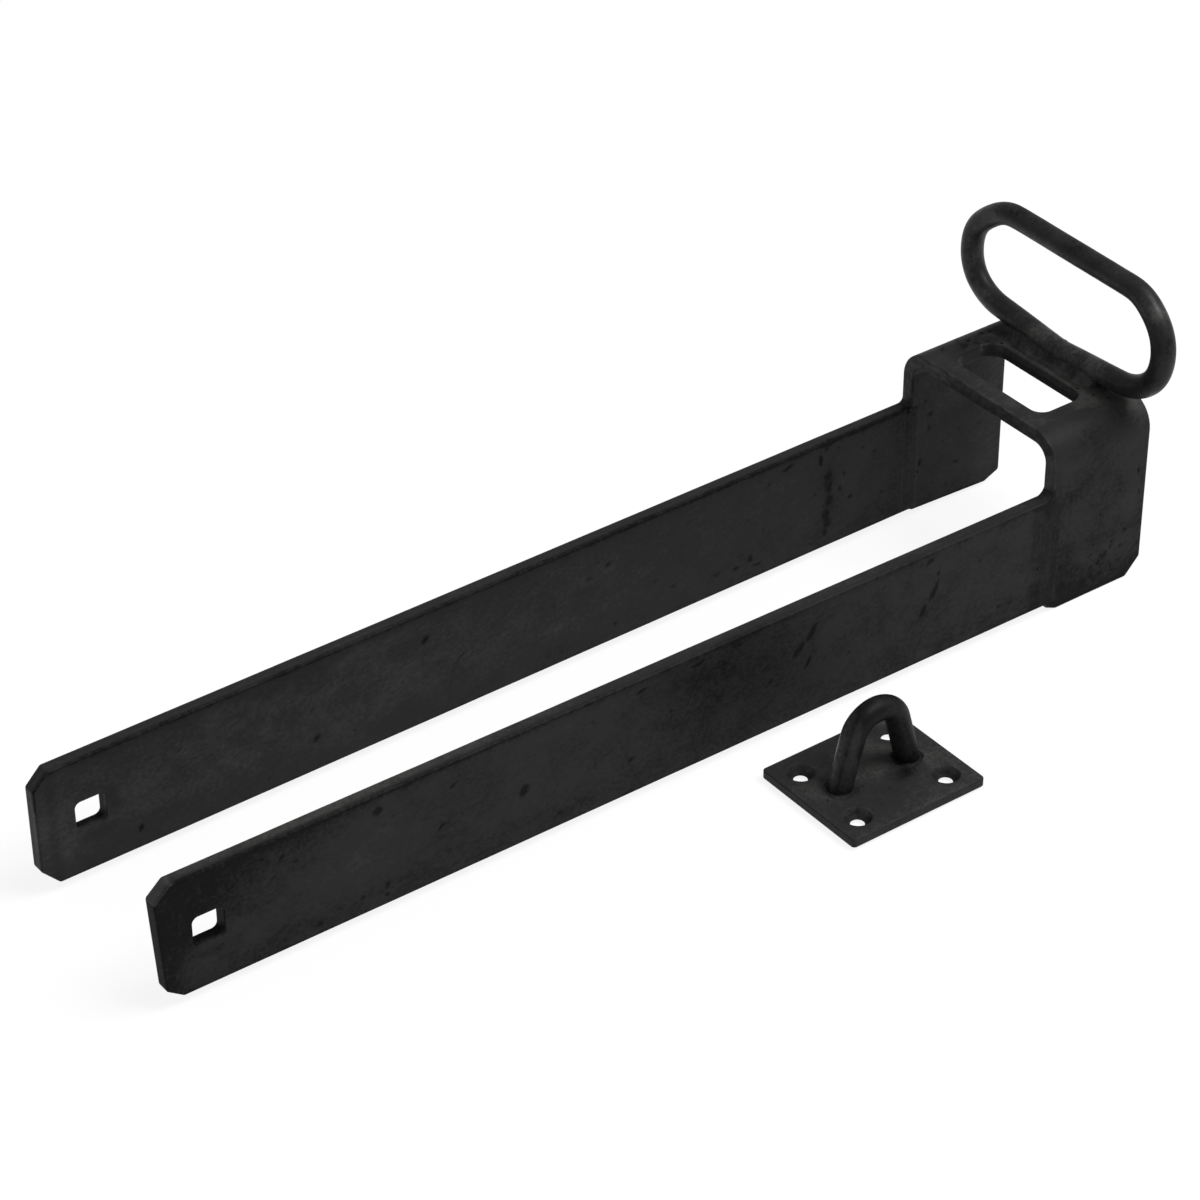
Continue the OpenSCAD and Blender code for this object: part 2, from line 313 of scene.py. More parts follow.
def finish(obj, nodes, smooth):
    """Turns the faces outward, shades them smooth and lets the piece stand for its nodes."""
    bm = bmesh.new()
    bm.from_mesh(obj.data)
    bmesh.ops.remove_doubles(bm, verts=bm.verts, dist=1e-7)
    bmesh.ops.recalc_face_normals(bm, faces=bm.faces)
    open_edges = sum(len(e.link_faces) != 2 for e in bm.edges)
    for e in bm.edges:
        e.smooth = len(e.link_faces) == 2 and e.calc_face_angle(0) < math.radians(smooth)
    for f in bm.faces:
        f.smooth = True
    volume = bm.calc_volume(signed=True) / MM ** 3
    bm.to_mesh(obj.data)
    bm.free()
    body = frame["nodes"][nodes[0]]["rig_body"]
    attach(obj, body)
    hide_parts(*nodes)
    at = np.array([v.co for v in obj.data.vertices]) / MM
    print(f"{obj.name}: {len(obj.data.polygons)} faces, {open_edges} open edges, {volume:.0f} mm3,",
          "box", at.min(0).round(1).tolist(), at.max(0).round(1).tolist())


def piece(name, points, faces, material, nodes, tone, ground=None, smooth=35):
    """A closed mesh from points in millimetres, standing for the CAD nodes."""
    mesh = bpy.data.meshes.new(name)
    mesh.from_pydata([tuple(float(c) * MM for c in p) for p in points], [],
                     [tuple(int(i) for i in f) for f in faces])
    set_layer(mesh, "tone", tone)
    if ground is not None:
        set_layer(mesh, "ground", ground)
    mesh.materials.append(material)
    mesh.validate()
    finish(placed(name, mesh), nodes, smooth)


# %% [markdown]
# Flat bar isn't a box. Rolling leaves it with soft corners, shears leave theirs sharper,
# and a punched hole is drawn in on one side. So a flat piece is built from its outline and
# its holes: each loop gets a row of rings down the edge, and the two faces between the
# loops are filled with fine triangles that can be pushed in for a dent. The piece is laid
# out flat first, and a function carries each point to its place, which also folds it.

# %% Outlines
def arc(x, y, r, angles):
    """Points on a circle."""
    return np.stack([x + r * np.cos(angles), y + r * np.sin(angles)], 1)


def corner_loop(corners, step=1.2, arc_step=0.35):
    """A closed loop through corners (x, y, radius), with true arcs, counter-clockwise."""
    points = []
    for i, (x, y, r) in enumerate(corners):
        here = np.array([x, y], float)
        before, after = corners[i - 1][:2] - here, corners[(i + 1) % len(corners)][:2] - here
        a, b = before / np.linalg.norm(before), after / np.linalg.norm(after)
        half = math.acos(max(-1, min(1, float(a @ b)))) / 2
        reach = r / math.tan(half)
        middle = here + (a + b) / np.linalg.norm(a + b) * r / math.sin(half)
        start, end = [math.atan2(*(here + v * reach - middle)[::-1]) for v in (a, b)]
        turn = (end - start + math.pi) % (2 * math.pi) - math.pi
        steps = max(3, int(abs(turn) * r / arc_step) + 1)
        points += list(arc(*middle, r, start + turn * np.arange(steps + 1) / steps))
    closed = []
    for p, q in zip(points, points[1:] + points[:1]):
        cuts = max(1, int(round(np.linalg.norm(q - p) / step)))
        closed += [p + (q - p) * k / cuts for k in range(cuts)]
    return np.array(closed)


def box_loop(half_x, half_y, r, step=1.2):
    """A rectangle round the origin with round corners."""
    return corner_loop([(x * half_x, y * half_y, r) for x, y in ((-1, -1), (1, -1), (1, 1), (-1, 1))], step)


def inwards(loop):
    """Unit vectors into the metal: left of a counter-clockwise outline."""
    ahead = np.roll(loop, -1, 0) - np.roll(loop, 1, 0)
    ahead /= np.linalg.norm(ahead, axis=1)[:, None]
    return np.stack([-ahead[:, 1], ahead[:, 0]], 1)


def inside(points, loop):
    """Which of the points lie inside the loop."""
    x, y = points[:, 0], points[:, 1]
    result = np.zeros(len(points), bool)
    for (x0, y0), (x1, y1) in zip(loop, np.roll(loop, -1, 0)):
        if y0 != y1:
            result ^= ((y0 > y) != (y1 > y)) & (x < (x1 - x0) * (y - y0) / (y1 - y0) + x0)
    return result


def in_metal(points, loops):
    """Which of the points lie inside the outline and outside its holes."""
    return inside(points, loops[0]) & ~np.any([inside(points, hole) for hole in loops[1:]] or [False], 0)


def clear_of(points, others, gap):
    """The points that lie further than a gap from all the others."""
    return points[[((others - p) ** 2).sum(1).min() > gap * gap for p in points]]


def edge_profile(thick, top_r, bottom_r, steps=4):
    """(inset, height) down a soft-cornered edge, from the top face to the bottom face."""
    def corner(r):
        turns = [math.pi / 2 * k / steps for k in range(steps + 1)]
        return [(r * (1 - math.sin(t)), thick / 2 - r * (1 - math.cos(t))) for t in turns]

    wall = [(0, thick * share) for share in (0.24, 0.09, -0.09, -0.24)]
    return corner(top_r) + wall + [(inset, -height) for inset, height in corner(bottom_r)[::-1]]


print("edge of a 5 mm bar:", [(round(a, 2), round(b, 2)) for a, b in edge_profile(5, 0.8, 0.8, 2)])

# %% A flat piece, filled and dented
rng = np.random.default_rng(7)
# rows of points along the rims carry the narrow line of painted shade inside each edge
RIM_ROWS, RIM_GAP = (0.45, 0.95, 1.6), 0.35
# and every other point keeps this share of a step away from them
ROOM = 0.42
# rows of even triangles lie this share of their side apart
ROW = 0.87
# rounding leaves slivers of less than this, in mm2, along a straight slanting edge
SLIVER = 1e-9


def staggered(across, up, step):
    """Points in rows, every second row moved on by half a step."""
    x, y = np.meshgrid(across, up)
    x = x + (np.arange(len(up)) % 2)[:, None] * step / 2
    return np.stack([x.ravel(), y.ravel()], 1)


def turned(u, v, angle, x=0, y=0):
    """Coordinates turned round the origin, then moved to x, y."""
    c, s = math.cos(angle), math.sin(angle)
    return x + c * u - s * v, y + s * u + c * v


def fill(loops, step, marks):
    """Triangles between an outline and its holes, finer round the marks."""
    low, high = loops[0].min(0), loops[0].max(0)
    grid = staggered(np.arange(low[0], high[0], step), np.arange(low[1], high[1], step * ROW), step)
    spots = [grid + rng.uniform(-0.08, 0.08, grid.shape) * step]
    for x, y, rx, ry, turn, *_ in marks:
        if min(rx, ry) < 2.5 * step:
            fine = max(0.3, min(rx, ry) / 3)
            n = int(max(rx, ry) * 1.3 / fine) + 1
            line = np.arange(-n, n + 1) * fine
            local = staggered(line, line, fine)
            keep = (local[:, 0] / (rx + fine)) ** 2 + (local[:, 1] / (ry + fine)) ** 2 < 1.5
            spots.append(np.stack(turned(*local[keep].T, turn, x, y), 1))
    border = taken = np.concatenate(loops)
    rows = []
    for inset in RIM_ROWS:
        row = np.concatenate([loop + inwards(loop) * (-inset if n else inset)
                              for n, loop in enumerate(loops)])
        rows.append(clear_of(row[in_metal(row, loops)], taken, RIM_GAP))
        taken = np.concatenate([taken, rows[-1]])
    rest = np.concatenate(spots)
    grid = np.concatenate(rows + [clear_of(rest[in_metal(rest, loops)], taken, ROOM * step)])
    edges, start = [], 0
    for loop in loops:
        edges += [(start + k, start + (k + 1) % len(loop)) for k in range(len(loop))]
        start += len(loop)
    points = np.concatenate([border, grid])
    _, _, tris, origin, *_ = delaunay_2d_cdt([Vector(p) for p in points], edges, [], 0, 1e-5)
    tris = np.array([o[0] if o else -1 for o in origin])[np.array(tris)]
    (ax, ay), (bx, by), (cx, cy) = points[tris].transpose(1, 2, 0)
    solid = np.abs((bx - ax) * (cy - ay) - (cx - ax) * (by - ay)) > SLIVER
    return grid, tris[solid & in_metal(points[tris].mean(1), loops)]


def marks_at(x, y, marks):
    """Depth in millimetres and tone of the placed marks, summed at each point."""
    depth, tone = np.zeros(len(x)), np.zeros(len(x))
    for mx, my, rx, ry, turn, deep, shade in marks:
        u, v = turned(x - mx, y - my, -turn)
        q = np.clip(1 - ((u / rx) ** 2 + (v / ry) ** 2) / 1.5, 0, 1) ** 2
        depth += deep * q
        tone += shade * q
    return depth, tone


def waves(x, y, size, seed):
    """Slow random swells between about -1 and 1, size millimetres across."""
    r = np.random.default_rng(seed)
    total = np.zeros(len(x))
    for _ in range(9):
        a, k = r.uniform(0, math.pi), 2 * math.pi / (size * r.uniform(0.6, 1.8))
        total += np.sin((x * math.cos(a) + y * math.sin(a)) * k + r.uniform(0, 6.3))
    return total / 3.2


def on_face(height, thick):
    """Which points lie on the two faces, not on an edge."""
    return np.abs(height) > thick / 2 - 0.01


def flat_piece(name, thick, outline, holes, place, nodes, shade, marks, hole_edge, seed, edge=None,
               step=1.5, swell=0.05, material=bar_black, proud=0.3):
    """A plate with dented faces. place(x, y, height) carries a flat point to its place.

    marks are those of the top and of the bottom. shade(x, y, height) gives tone and ground.
    Rolled bar and its zinc stand proud of the drawn outline by a little."""
    loops = [outline] + holes
    flat, height, faces, first, last, count = [], [], [], [], [], 0
    for n, loop in enumerate(loops):
        profile = hole_edge if n else edge or edge_profile(thick, 0.55, 0.55)
        into = inwards(loop) * (-1 if n else 1)
        size = len(loop)
        flat += [loop + into * (inset - (0 if n else proud)) for inset, _ in profile]
        height += [np.full(size, h) for _, h in profile]
        first.append(count)
        last.append(count + (len(profile) - 1) * size)
        for a in range(first[-1], last[-1], size):
            faces += [(a + i, a + size + i, a + size + (i + 1) % size, a + (i + 1) % size)
                      for i in range(size)]
        count = last[-1] + size
    for level, starts in ((1, first), (-1, last)):
        rings = [np.arange(s, s + len(loop)) for s, loop in zip(starts, loops)]
        rims = [np.concatenate(flat)[ring] for ring in rings]
        grid, tris = fill(rims, step, marks[0 if level > 0 else 1])
        index = np.concatenate(rings + [np.arange(count, count + len(grid))])
        faces += [tuple(t[::level]) for t in index[tris].tolist()]
        flat.append(grid)
        height.append(np.full(len(grid), level * thick / 2))
        count += len(grid)
    (x, y), height = np.concatenate(flat).T, np.concatenate(height)
    sunk, tone = [np.where(height > 0, a, b) for a, b in zip(*[marks_at(x, y, m) for m in marks])]
    level = height * (1 - swell / thick * (1 + waves(x, y, 38, seed)))
    level -= np.sign(height) * sunk * on_face(height, thick)
    extra, ground = shade(x, y, height)
    piece(name, place(x, y, level), faces, material, nodes, tone + extra, ground)


test = fill([corner_loop([(0, 0, 1), (20, 0, 1), (20, 10, 1), (0, 10, 1)])], 1.5, [])
print("a 20 x 10 mm face takes", len(test[1]), "triangles")

# %% [markdown]
# The arms are 40 x 5 mm bar with sheared ends, clipped corners and a square hole punched
# for a coach bolt. They open by a few millimetres towards the bridge. The real pair is
# not quite alike: the near one was sheared a little short and askew, and its end carries
# painted shade for a dark reflection; the far one carries a column of small pits and a bent
# scratch. Each mark is a row of place, size, turn, depth and tone, read off the real piece.

# %% Tones and marks
def ease(value, low, high):
    """0 below low, 1 above high, smooth between."""
    t = np.clip((value - low) / (high - low), 0, 1)
    return t * t * (3 - 2 * t)


def fade(value, low, high):
    """1 below low, 0 above high, smooth between."""
    return 1 - ease(value, low, high)


def bell(off, width):
    """1 at 0, fading to either side."""
    return np.exp(-(off / width) ** 2)


def dots(rows, deep=0.10, shade=-1.35, grow=1.2):
    """Pits as (x, y, rx, ry, turn). The smallest stay faint. A turn of 0 may be left out."""
    return [(x, y, rx * grow, ry * grow, sum(turn), deep * min(1, rx * ry),
             shade * min(1, 0.2 + 0.4 * rx * ry)) for x, y, rx, ry, *turn in rows]


def clouds(rows):
    """Darker or paler places without depth, as (x, y, rx, ry, tone, turn)."""
    return [(x, y, rx, ry, sum(turn), 0, tone) for x, y, rx, ry, tone, *turn in rows]


# %% The two arms
BAR, DEPTH = 5.0, 40.0
FRONT, BACK = 312.0, 352.0
TOP, GROUND = 41.5, -22.5
AT_PIVOT, INNER, OUTER = 30, 32, 37
TOE = math.atan((INNER - AT_PIVOT) / FRONT)
ARM_TOP, ARM_END = DEPTH / 2, FRONT - 0.2


def arm_place(side):
    """The flat layout has x along the arm and y up it, and its height grows outwards."""
    def place(x, y, level):
        along, out = turned(x, BAR / 2 + level, TOE, 0, AT_PIVOT)
        return np.stack([along, side * out, y], 1)
    return place


def arm_outline(upper_x, lower_x, upper_clip, lower_clip):
    """The side view of an arm from its hole end to the weld, counter-clockwise."""
    return corner_loop([(x, y, 0.95) for x, y in (
        (lower_x + lower_clip[0], -ARM_TOP), (ARM_END, -ARM_TOP), (ARM_END, ARM_TOP),
        (upper_x + upper_clip[0], ARM_TOP), (upper_x, ARM_TOP - upper_clip[1]),
        (lower_x, lower_clip[1] - ARM_TOP))])


def rolled_lines(x, y, height, seen=-1):
    """Painted shade along the rolled corners, on the hole's walls and the sheared end, painted light on the
    upper edge, and the ground band by the weld.

    seen is 1 if the camera sees the outer face, as on the near arm, and -1 if the inner."""
    near, face = seen > 0, on_face(height, BAR)
    # the way to the nearest corner, over the face or down the edge
    way = np.where(face, np.abs(np.abs(y) - ARM_TOP) + 0.35, BAR / 2 - height * seen - 0.35)
    # a line of painted shade inside each corner, strongest along the upper corner of the face that is seen
    upper = 0.40 + 0.95 * fade(x, 20, 200) if near else 0.95
    corner_shade = np.where((height * seen > 0) & (y > 0), upper, 0.3)
    tone = -corner_shade * bell(way, 1.1) * (face | (np.abs(y) > 8))
    # the faces darken over their lower part and towards their upper edge, with a line of painted shade
    # inside the sheared end, and a little near the weld
    tone -= face * (0.24 * fade(y, -17, -5) + 0.16 * ease(y, 15, 19.5) + 0.30 * bell(x + 12.6, 1.6)
                    + 0.10 * ease(x, 280, 300))
    # the upper edge is painted paler, as lit from above, most of all near the hole
    tone += np.where(~face & (y > 8), 0.30 + 0.65 * fade(x, 10, 170) if near else 0.10, 0)
    # the walls of the square hole and the sheared end carry painted shade
    tone += np.where(~face & (np.hypot(x, y) < 8.5), -1.0 + 0.8 * ease(height * seen, -0.2, 1.8), 0)
    tone -= 0.15 * (~face & (x < -11.5) & (y < 14))
    band = 1 / (1 + np.exp(FRONT - 8 - x))
    return tone, band * face * (0.85 if near else 0.45)


def end_in_painted_shade(x, y, height):
    """The near arm: painted shade for a dark reflection, thinning out over 60 mm and reaching furthest
    along its upper edge.
    """
    tone, band = rolled_lines(x, y, height, seen=1)
    painted_dark_reflection = 0.80 * fade(x - 0.35 * y, -22, 14) + 0.42 * fade(x - 2.2 * y, -26, 46) * ease(y, -6, 14)
    # the clipped corners, which face up, carry a painted highlight, and the sheared end between them
    # carries painted shade
    edge, clip = ~on_face(height, BAR), y > 15.2
    tone += np.where(edge & (x < -10.5), np.where(clip, 1.5, -0.7), 0)
    painted_dark_reflection *= np.where(edge & clip, 0.15, 1.0)
    # more painted shade over the first 58 mm of the near arm
    return tone - painted_dark_reflection - 0.22 * fade(x, 0, 58) - 0.08, band


near_outer = dots([
    (214.7, 10.2, 3.2, 1, 1), (209.8, 5.6, 2.6, 1.3, 0.9), (213.5, -0.5, 2.4, 0.7, 1),
    (259.3, -0.4, 2.2, 0.9, 1.1), (263.4, 5.2, 3.4, 1, 1.1), (261.3, 17.2, 1.8, 0.8, 0.4),
    (265, 11.5, 1.2, 0.6, 1.2), (107.6, -1.2, 2.2, 1.6, 0.9), (146, -7.5, 1.2, 0.8, 0.3),
    (59.1, -13.1, 1.6, 0.7, 1.2), (58.6, -16.6, 1, 0.8), (50.5, -13.8, 0.8, 0.8),
    (35.7, -16.5, 1.3, 0.9, 0.4), (43, 0.2, 0.7, 0.5), (48.5, -0.6, 0.8, 0.6, 0.3),
    (52, 0.4, 0.7, 0.5), (56.8, 14.5, 1.7, 1.4, 0.4), (58.6, 8.6, 0.9, 0.7),
    (61.8, 10.4, 0.7, 0.6), (78, -1, 1.8, 0.6, 0.7), (82.5, 11.9, 1.2, 0.6, 0.4),
    (84.6, 14.6, 0.8, 0.5), (150.5, 16.2, 2, 0.6, 0.2), (171, 16.9, 2.6, 0.6, 0.1),
    (188, 17.4, 1.8, 0.5, 0.15), (230, -3.8, 0.9, 0.6), (199, -1.5, 1, 0.6, 0.6),
    (161, 4, 0.8, 0.7), (132, 12.5, 0.9, 0.5), (120, -15.5, 0.9, 0.6), (243, 15, 1, 0.6, 0.5),
    (282, 9, 0.8, 0.6), (291, -12, 0.9, 0.7), (18, 15.5, 1, 0.7), (24.5, 13, 1.4, 0.7, 0.9),
    (29, 9.8, 1, 0.6), (21, 7.2, 0.9, 0.6, 0.5)
]) + [
    # the scraped place under the hole, and the dents round the hole
    (13.5, -10.5, 6, 5, 0.4, 0.03, 0.22), (22, -3, 7, 2.2, 0.5, 0.02, 0.10),
    (7, 2.5, 5.5, 7, 0, 0.10, -0.25), (0, -8.2, 7.5, 2.6, 0, 0.12, -0.45),
] + clouds([
    # a soft cloud half way along, and paler zones beside it
    (182, 4, 44, 24, -0.42, 0.12), (172, 10, 22, 13, -0.12, 0.2), (52, 2, 24, 15, 0.24, 0.1),
    (76, 2, 24, 24, -0.22), (-5, -13, 14, 9, 0.55), (4, -4, 9, 6, 0.3), (-8, 15, 12, 6, -0.35),
    (110, 3, 32, 14, -0.04), (255, 0, 40, 22, -0.26), (135, 0, 30, 22, -0.10)])
far_inner = dots([
    (276.4, 18.6, 2, 0.8, 0.9), (273.4, 14.4, 0.9, 2.2, 0.1), (281, 16.6, 0.9, 0.6),
    (276.6, 7.2, 1.2, 1.2), (277, 3.2, 1.2, 2, 0.1), (277.4, -2.6, 1.5, 1.9),
    (276, -7.4, 1.3, 1.6, 0.1), (276.6, -10.8, 1.1, 1.6, 0.3), (276, -14.6, 1, 1.5, 0.1),
    (281.8, 0.2, 0.9, 1.4, 0.3), (286.5, -4.4, 1.2, 1), (283.4, 5.6, 0.7, 1),
    (271.4, 2.2, 0.7, 0.9), (259.6, 16.8, 2.2, 0.8, 0.2), (252, 13.6, 1.4, 0.6, 0.7),
    (243.5, 3.5, 0.8, 0.6), (250, -3, 0.7, 0.7), (239.2, -13.4, 1.4, 0.9),
    (244.8, -12, 1.2, 1.4, 0.3), (247.6, -15.2, 1.6, 0.7), (231, -12.8, 1.2, 0.8, 0.4),
    (117.9, 10.4, 1.9, 1.1, 0.8), (77.6, -8.4, 1.7, 1.2, 0.9), (76.5, 2.6, 1, 0.7, 0.3),
    (91.2, -11.6, 0.8, 0.6), (101, 2.6, 0.7, 0.5), (59.8, -15.8, 0.8, 0.6),
    (15.6, -13.2, 1.6, 1, 1.2), (41, 2, 1, 0.6), (38, 5.4, 0.8, 0.6), (30.6, 8.8, 1.2, 0.6, 0.5),
    (187.5, 9.4, 1.5, 1, 0.6), (180, 7, 1.2, 0.8), (183.4, 11.8, 0.9, 0.7),
    (190.2, -14.2, 0.9, 0.8), (166, 3, 0.8, 0.6), (206.2, -4.6, 1, 0.8), (213.4, -9.6, 1.4, 0.8),
    (219.2, 12.4, 1.2, 0.7, 0.4), (300, -8, 0.8, 0.6), (296.5, 9.5, 0.9, 0.6),
    (291, 12.6, 1.1, 0.6, 0.3)
]) + [(1.5, -8, 7.5, 2.6, 0, 0.12, -0.45), (7, 1, 3, 7, 0, 0.06, -0.30)] + clouds([
    (276, -2, 10, 20, -0.26), (245, -11, 16, 8, -0.12), (205, -8, 22, 8, -0.10, 0.1),
    (80, 0, 110, 40, 0.36), (190, 0, 60, 40, 0.10), (-13, -1, 12, 26, 0.42), (12, -4, 34, 26, 0.16),
    (277, 6, 3, 7, -0.40, 0.05), (277, -8, 2.6, 6, -0.30, 0.05)])
# the bent scratch on the far arm is a chain of short shallow grooves
far_inner += [(126 + 7.68 * (1 - math.cos(k * 0.1125)), -14.5 + 14.5 * math.sin(k * 0.1125), 1.8, 0.5,
               math.atan2(1.6, 0.9 + k * 0.35), 0.06, -0.45) for k in range(13)]
far_inner += [(139.5 + k * 2.6, 0.4 + 0.35 * k, 1.8, 0.45, 0.15, 0.05, -0.35) for k in range(5)]
arm_holes, punched = [box_loop(5.15, 5.15, 2.0, 0.8)], edge_profile(BAR, 0.5, 0.25, 3)

flat_piece("near_arm_bar", BAR, arm_outline(-16.3, -14.6, (5.2, 4.6), (5.2, 3.8)), arm_holes, arm_place(-1),
           ["near_arm"], end_in_painted_shade, (near_outer, ()), punched, seed=3)
flat_piece("far_arm_bar", BAR, arm_outline(-17.6, -17.6, (5.2, 5.2), (5.6, 6.2)), arm_holes, arm_place(1),
           ["far_arm"], rolled_lines, ((), far_inner), punched, seed=5)

# %% [markdown]
# The bridge is one strap folded to a U, so it is laid out flat like the arms: its length
# runs up the near leg, over the top and down the far leg. The slot and the clipped
# corners are cut in the flat, and the place function bends it round both corners. The
# real one has dark stains round the far end of its slot, and a painted highlight runs
# along its front edge.

# %% The bridge
BEND_INSIDE = 5.5
BEND = BEND_INSIDE + BAR / 2
LEG = TOP - BAR - BEND_INSIDE - GROUND
KNEE = INNER - BEND_INSIDE
ACROSS = 2 * KNEE
CURVE = BEND * math.pi / 2
FLAT = LEG + CURVE
LENGTH = 2 * FLAT + ACROSS
NEAR_FOOT, FAR_FOOT = -0.6, LENGTH - 0.6


def bridge_place(x, s, level):
    """x lies along the arms, s runs along the strap from the foot of the near leg."""
    q, r = np.minimum(s, LENGTH - s), BEND + level
    turn = np.clip((q - LEG) / BEND, 0, math.pi / 2)
    out = KNEE + r * np.cos(turn) - np.maximum(q - FLAT, 0)
    up = GROUND + np.minimum(q, LEG) + r * np.sin(turn)
    return np.stack([x, np.where(s > LENGTH / 2, out, -out), up], 1)


def strap_tone(x, s, height):
    """Painted light on the top and its front edge, painted light and shade on the legs and the bend, the
    ground bands by the welds.
    """
    face, up = on_face(height, BAR), height > 0
    end, skin, front = np.minimum(s, LENGTH - s), face & up, ~face & (x < FRONT + 0.6)
    on_top = (end > FLAT) & up
    band = (end < ARM_TOP - GROUND) * face / (1 + np.exp(x - FRONT - 11))
    # lines of painted shade inside the long edges and at the sheared feet, and more near the floor
    tone = -0.12 * face * bell(np.minimum(x - FRONT, BACK - x) - 1.6, 0.9)
    tone -= 0.45 * face * bell(np.minimum(s - NEAR_FOOT, FAR_FOOT - s) - 0.6, 0.8)
    tone -= 0.34 * face * fade(end, 1, 12)
    # the top is painted paler, most of all towards the back where it lifts the handle's shadow, and a
    # little by the front edge
    tone += on_top * (0.14 - 0.16 * (s - FLAT) / ACROSS + 0.22 * fade(x, FRONT + 5, FRONT + 9)
                      + 0.60 * ease(x, FRONT + 10, FRONT + 26))
    # the near leg is painted darker outside and the far one paler below its bend, as painted shade and
    # light
    tone -= skin * (0.40 * fade(s, LEG - 20, LEG) + 0.06 * ease(end, LEG - 3, LEG + CURVE / 2)
                    * fade(end, LEG + CURVE / 2, FLAT + 5))
    tone += face * (s > LENGTH - LEG) * (0.10 + 0.36 * fade(s, LENGTH - LEG + 5, LENGTH - LEG + 28))
    # the near bend is painted paler at the back, lifting the handle's shadow, with a patch of painted shade
    # under it
    tone += 0.9 * skin * ease(x, 326, 344) * ease(s, LEG - 4, FLAT) * fade(s, FLAT + 2, FLAT + 10)
    tone -= (0.28 * skin * ease(x, 314, 330) * fade(x, 336, 350) * ease(s, LEG - 18, LEG - 6)
             * fade(s, FLAT - 6, FLAT))
    # the front edge carries a painted highlight all along, unevenly over the top
    tone += 0.75 * (front & (s < LEG + 4))
    tone += (front & (s > LEG + 6)) * (0.38 + 0.30 * waves(s, 3 * height, 5, 11))
    return tone, band * np.where(up, 0.5, 0.3)


def on_strap(y):
    """The place along the strap that lies at y across its top."""
    return FLAT + (y + ACROSS / 2)


blank = corner_loop([
    (FRONT + 4.2, NEAR_FOOT, 1.2), (BACK - 5.6, NEAR_FOOT, 1.0), (BACK, NEAR_FOOT + 5.8, 1.0),
    (BACK, FAR_FOOT - 2.6, 1.0), (BACK - 6.0, FAR_FOOT, 1.0), (FRONT + 2.2, FAR_FOOT - 1.2, 1.0),
    (FRONT, FAR_FOOT - 2.4, 0.8), (FRONT, NEAR_FOOT + 1.8, 0.8)])
slot = corner_loop([(FRONT + x, on_strap(y), r) for x, y, r in (
    (6.5, -21.2, 4.4), (25.3, -21.2, 5.0), (25.3, 21.9, 6.0), (6.5, 21.9, 6.0))], 1.0)
strap_outer = [(x, on_strap(y), *rest) for x, y, *rest in [
    (320, 27.5, 2.2, 1.2, 0.8, 0.05, -0.5), (327, 25.2, 4, 2, 0.2, 0.04, -0.6),
    (336.5, 22, 3.2, 2.6, 0.3, 0.04, -0.7), (342, 24, 2.4, 2.6, 0, 0.04, -0.7),
    (331, 24.4, 9, 3.4, 0.1, 0, -0.35), (345.5, 4, 3, 24, 0, 0, -0.3),
    (340.6, 6, 2, 12, 0, 0, -0.25), (341, -14, 1.8, 7, 0, 0, 0.5),
    (343.8, -22.8, 1.7, 1.3, 0.4, 0.2, -0.75), (340.8, -19.4, 2.4, 3, 0.3, 0, 0.55),
    (349.5, -24, 3, 6, 0, 0, -0.1), (331.2, 24.2, 1.4, 1.2, 0, 0.05, -0.8),
    (330.2, 26.6, 1.5, 0.9, 0.4, 0.04, -0.7), (332.6, 25.9, 1.2, 0.8, 0, 0.03, -0.6),
    (331.8, 22.2, 0.6, 1, 0, 0, 0.9), (328, 29, 3.5, 1.2, 0.9, 0, -0.5),
    (336.8, 27.6, 1.2, 0.9, 0, 0.06, -0.8), (339.6, 26.8, 1, 0.8, 0, 0.05, -0.7),
    (334.6, 22.6, 1, 0.9, 0, 0.04, -0.6)
]]
strap_outer += clouds([(322, 29, 10, 9, 0.45), (347, 32, 6, 11, 0.5), (342, 14, 9, 5, 0.3)])
strap_outer += dots([(x, z - GROUND, *rest) for x, z, *rest in [
    (337.5, -20.6, 1, 0.8), (326.7, -17.4, 1.3, 1.2), (329.8, -8.1, 0.9, 0.7),
    (316.4, -7.7, 1.2, 0.8, 1.2), (317.8, -14.9, 1, 1.4), (339.2, -15.9, 0.7, 0.6),
    (333.4, -12.4, 1.2, 0.9, 0.8), (336, -10.4, 1.5, 0.9, 0.9), (338.6, -8.2, 1, 0.8, 0.7),
    (334.4, -10, 0.9, 0.8, -0.7), (330.6, -13.4, 0.8, 0.9), (330.4, -16.4, 0.9, 1.1, 0.3),
    (332, -18.4, 1, 0.8, 0.3), (334.5, -16.8, 1.1, 0.7, -0.7), (339, -6.4, 0.8, 0.7),
    (342.8, -9.6, 1, 0.7, 0.9), (330.6, -4.6, 0.7, 0.6), (344.4, -4, 0.8, 0.8),
    (348.4, 17, 0.7, 1.6), (349.4, 8.6, 0.6, 1.2), (333, 6, 0.7, 0.6),
    (324.5, -11.5, 0.9, 0.6, 0.5), (328, -19.5, 0.9, 0.6), (341, 12, 0.7, 0.5)
]])
strap_inner = dots([(x, LENGTH - (z - GROUND), *rest) for x, z, *rest in [
    (319.9, 14.6, 1.6, 1), (319.6, 9.2, 1, 1.3, 0.2), (316.2, -3, 0.8, 1.7, 0.3),
    (332.2, -8.6, 1.5, 0.7, 0.3), (324.6, 10.8, 0.9, 0.5), (326, 1.5, 0.7, 0.6),
    (333.4, 4.2, 0.9, 0.6, 0.4), (322, -13, 0.8, 0.7), (338.6, -3.8, 0.9, 0.5, 0.3),
    (328.6, -16.4, 1, 0.6), (342, 3, 0.7, 0.6), (317.5, 20.5, 1, 0.7)
]])
flat_piece("bridge_strap", BAR, blank, [slot], bridge_place, ["bridge"], strap_tone,
           (strap_outer, strap_inner), edge_profile(BAR, 0.5, 0.4, 3), seed=9, step=1.4)

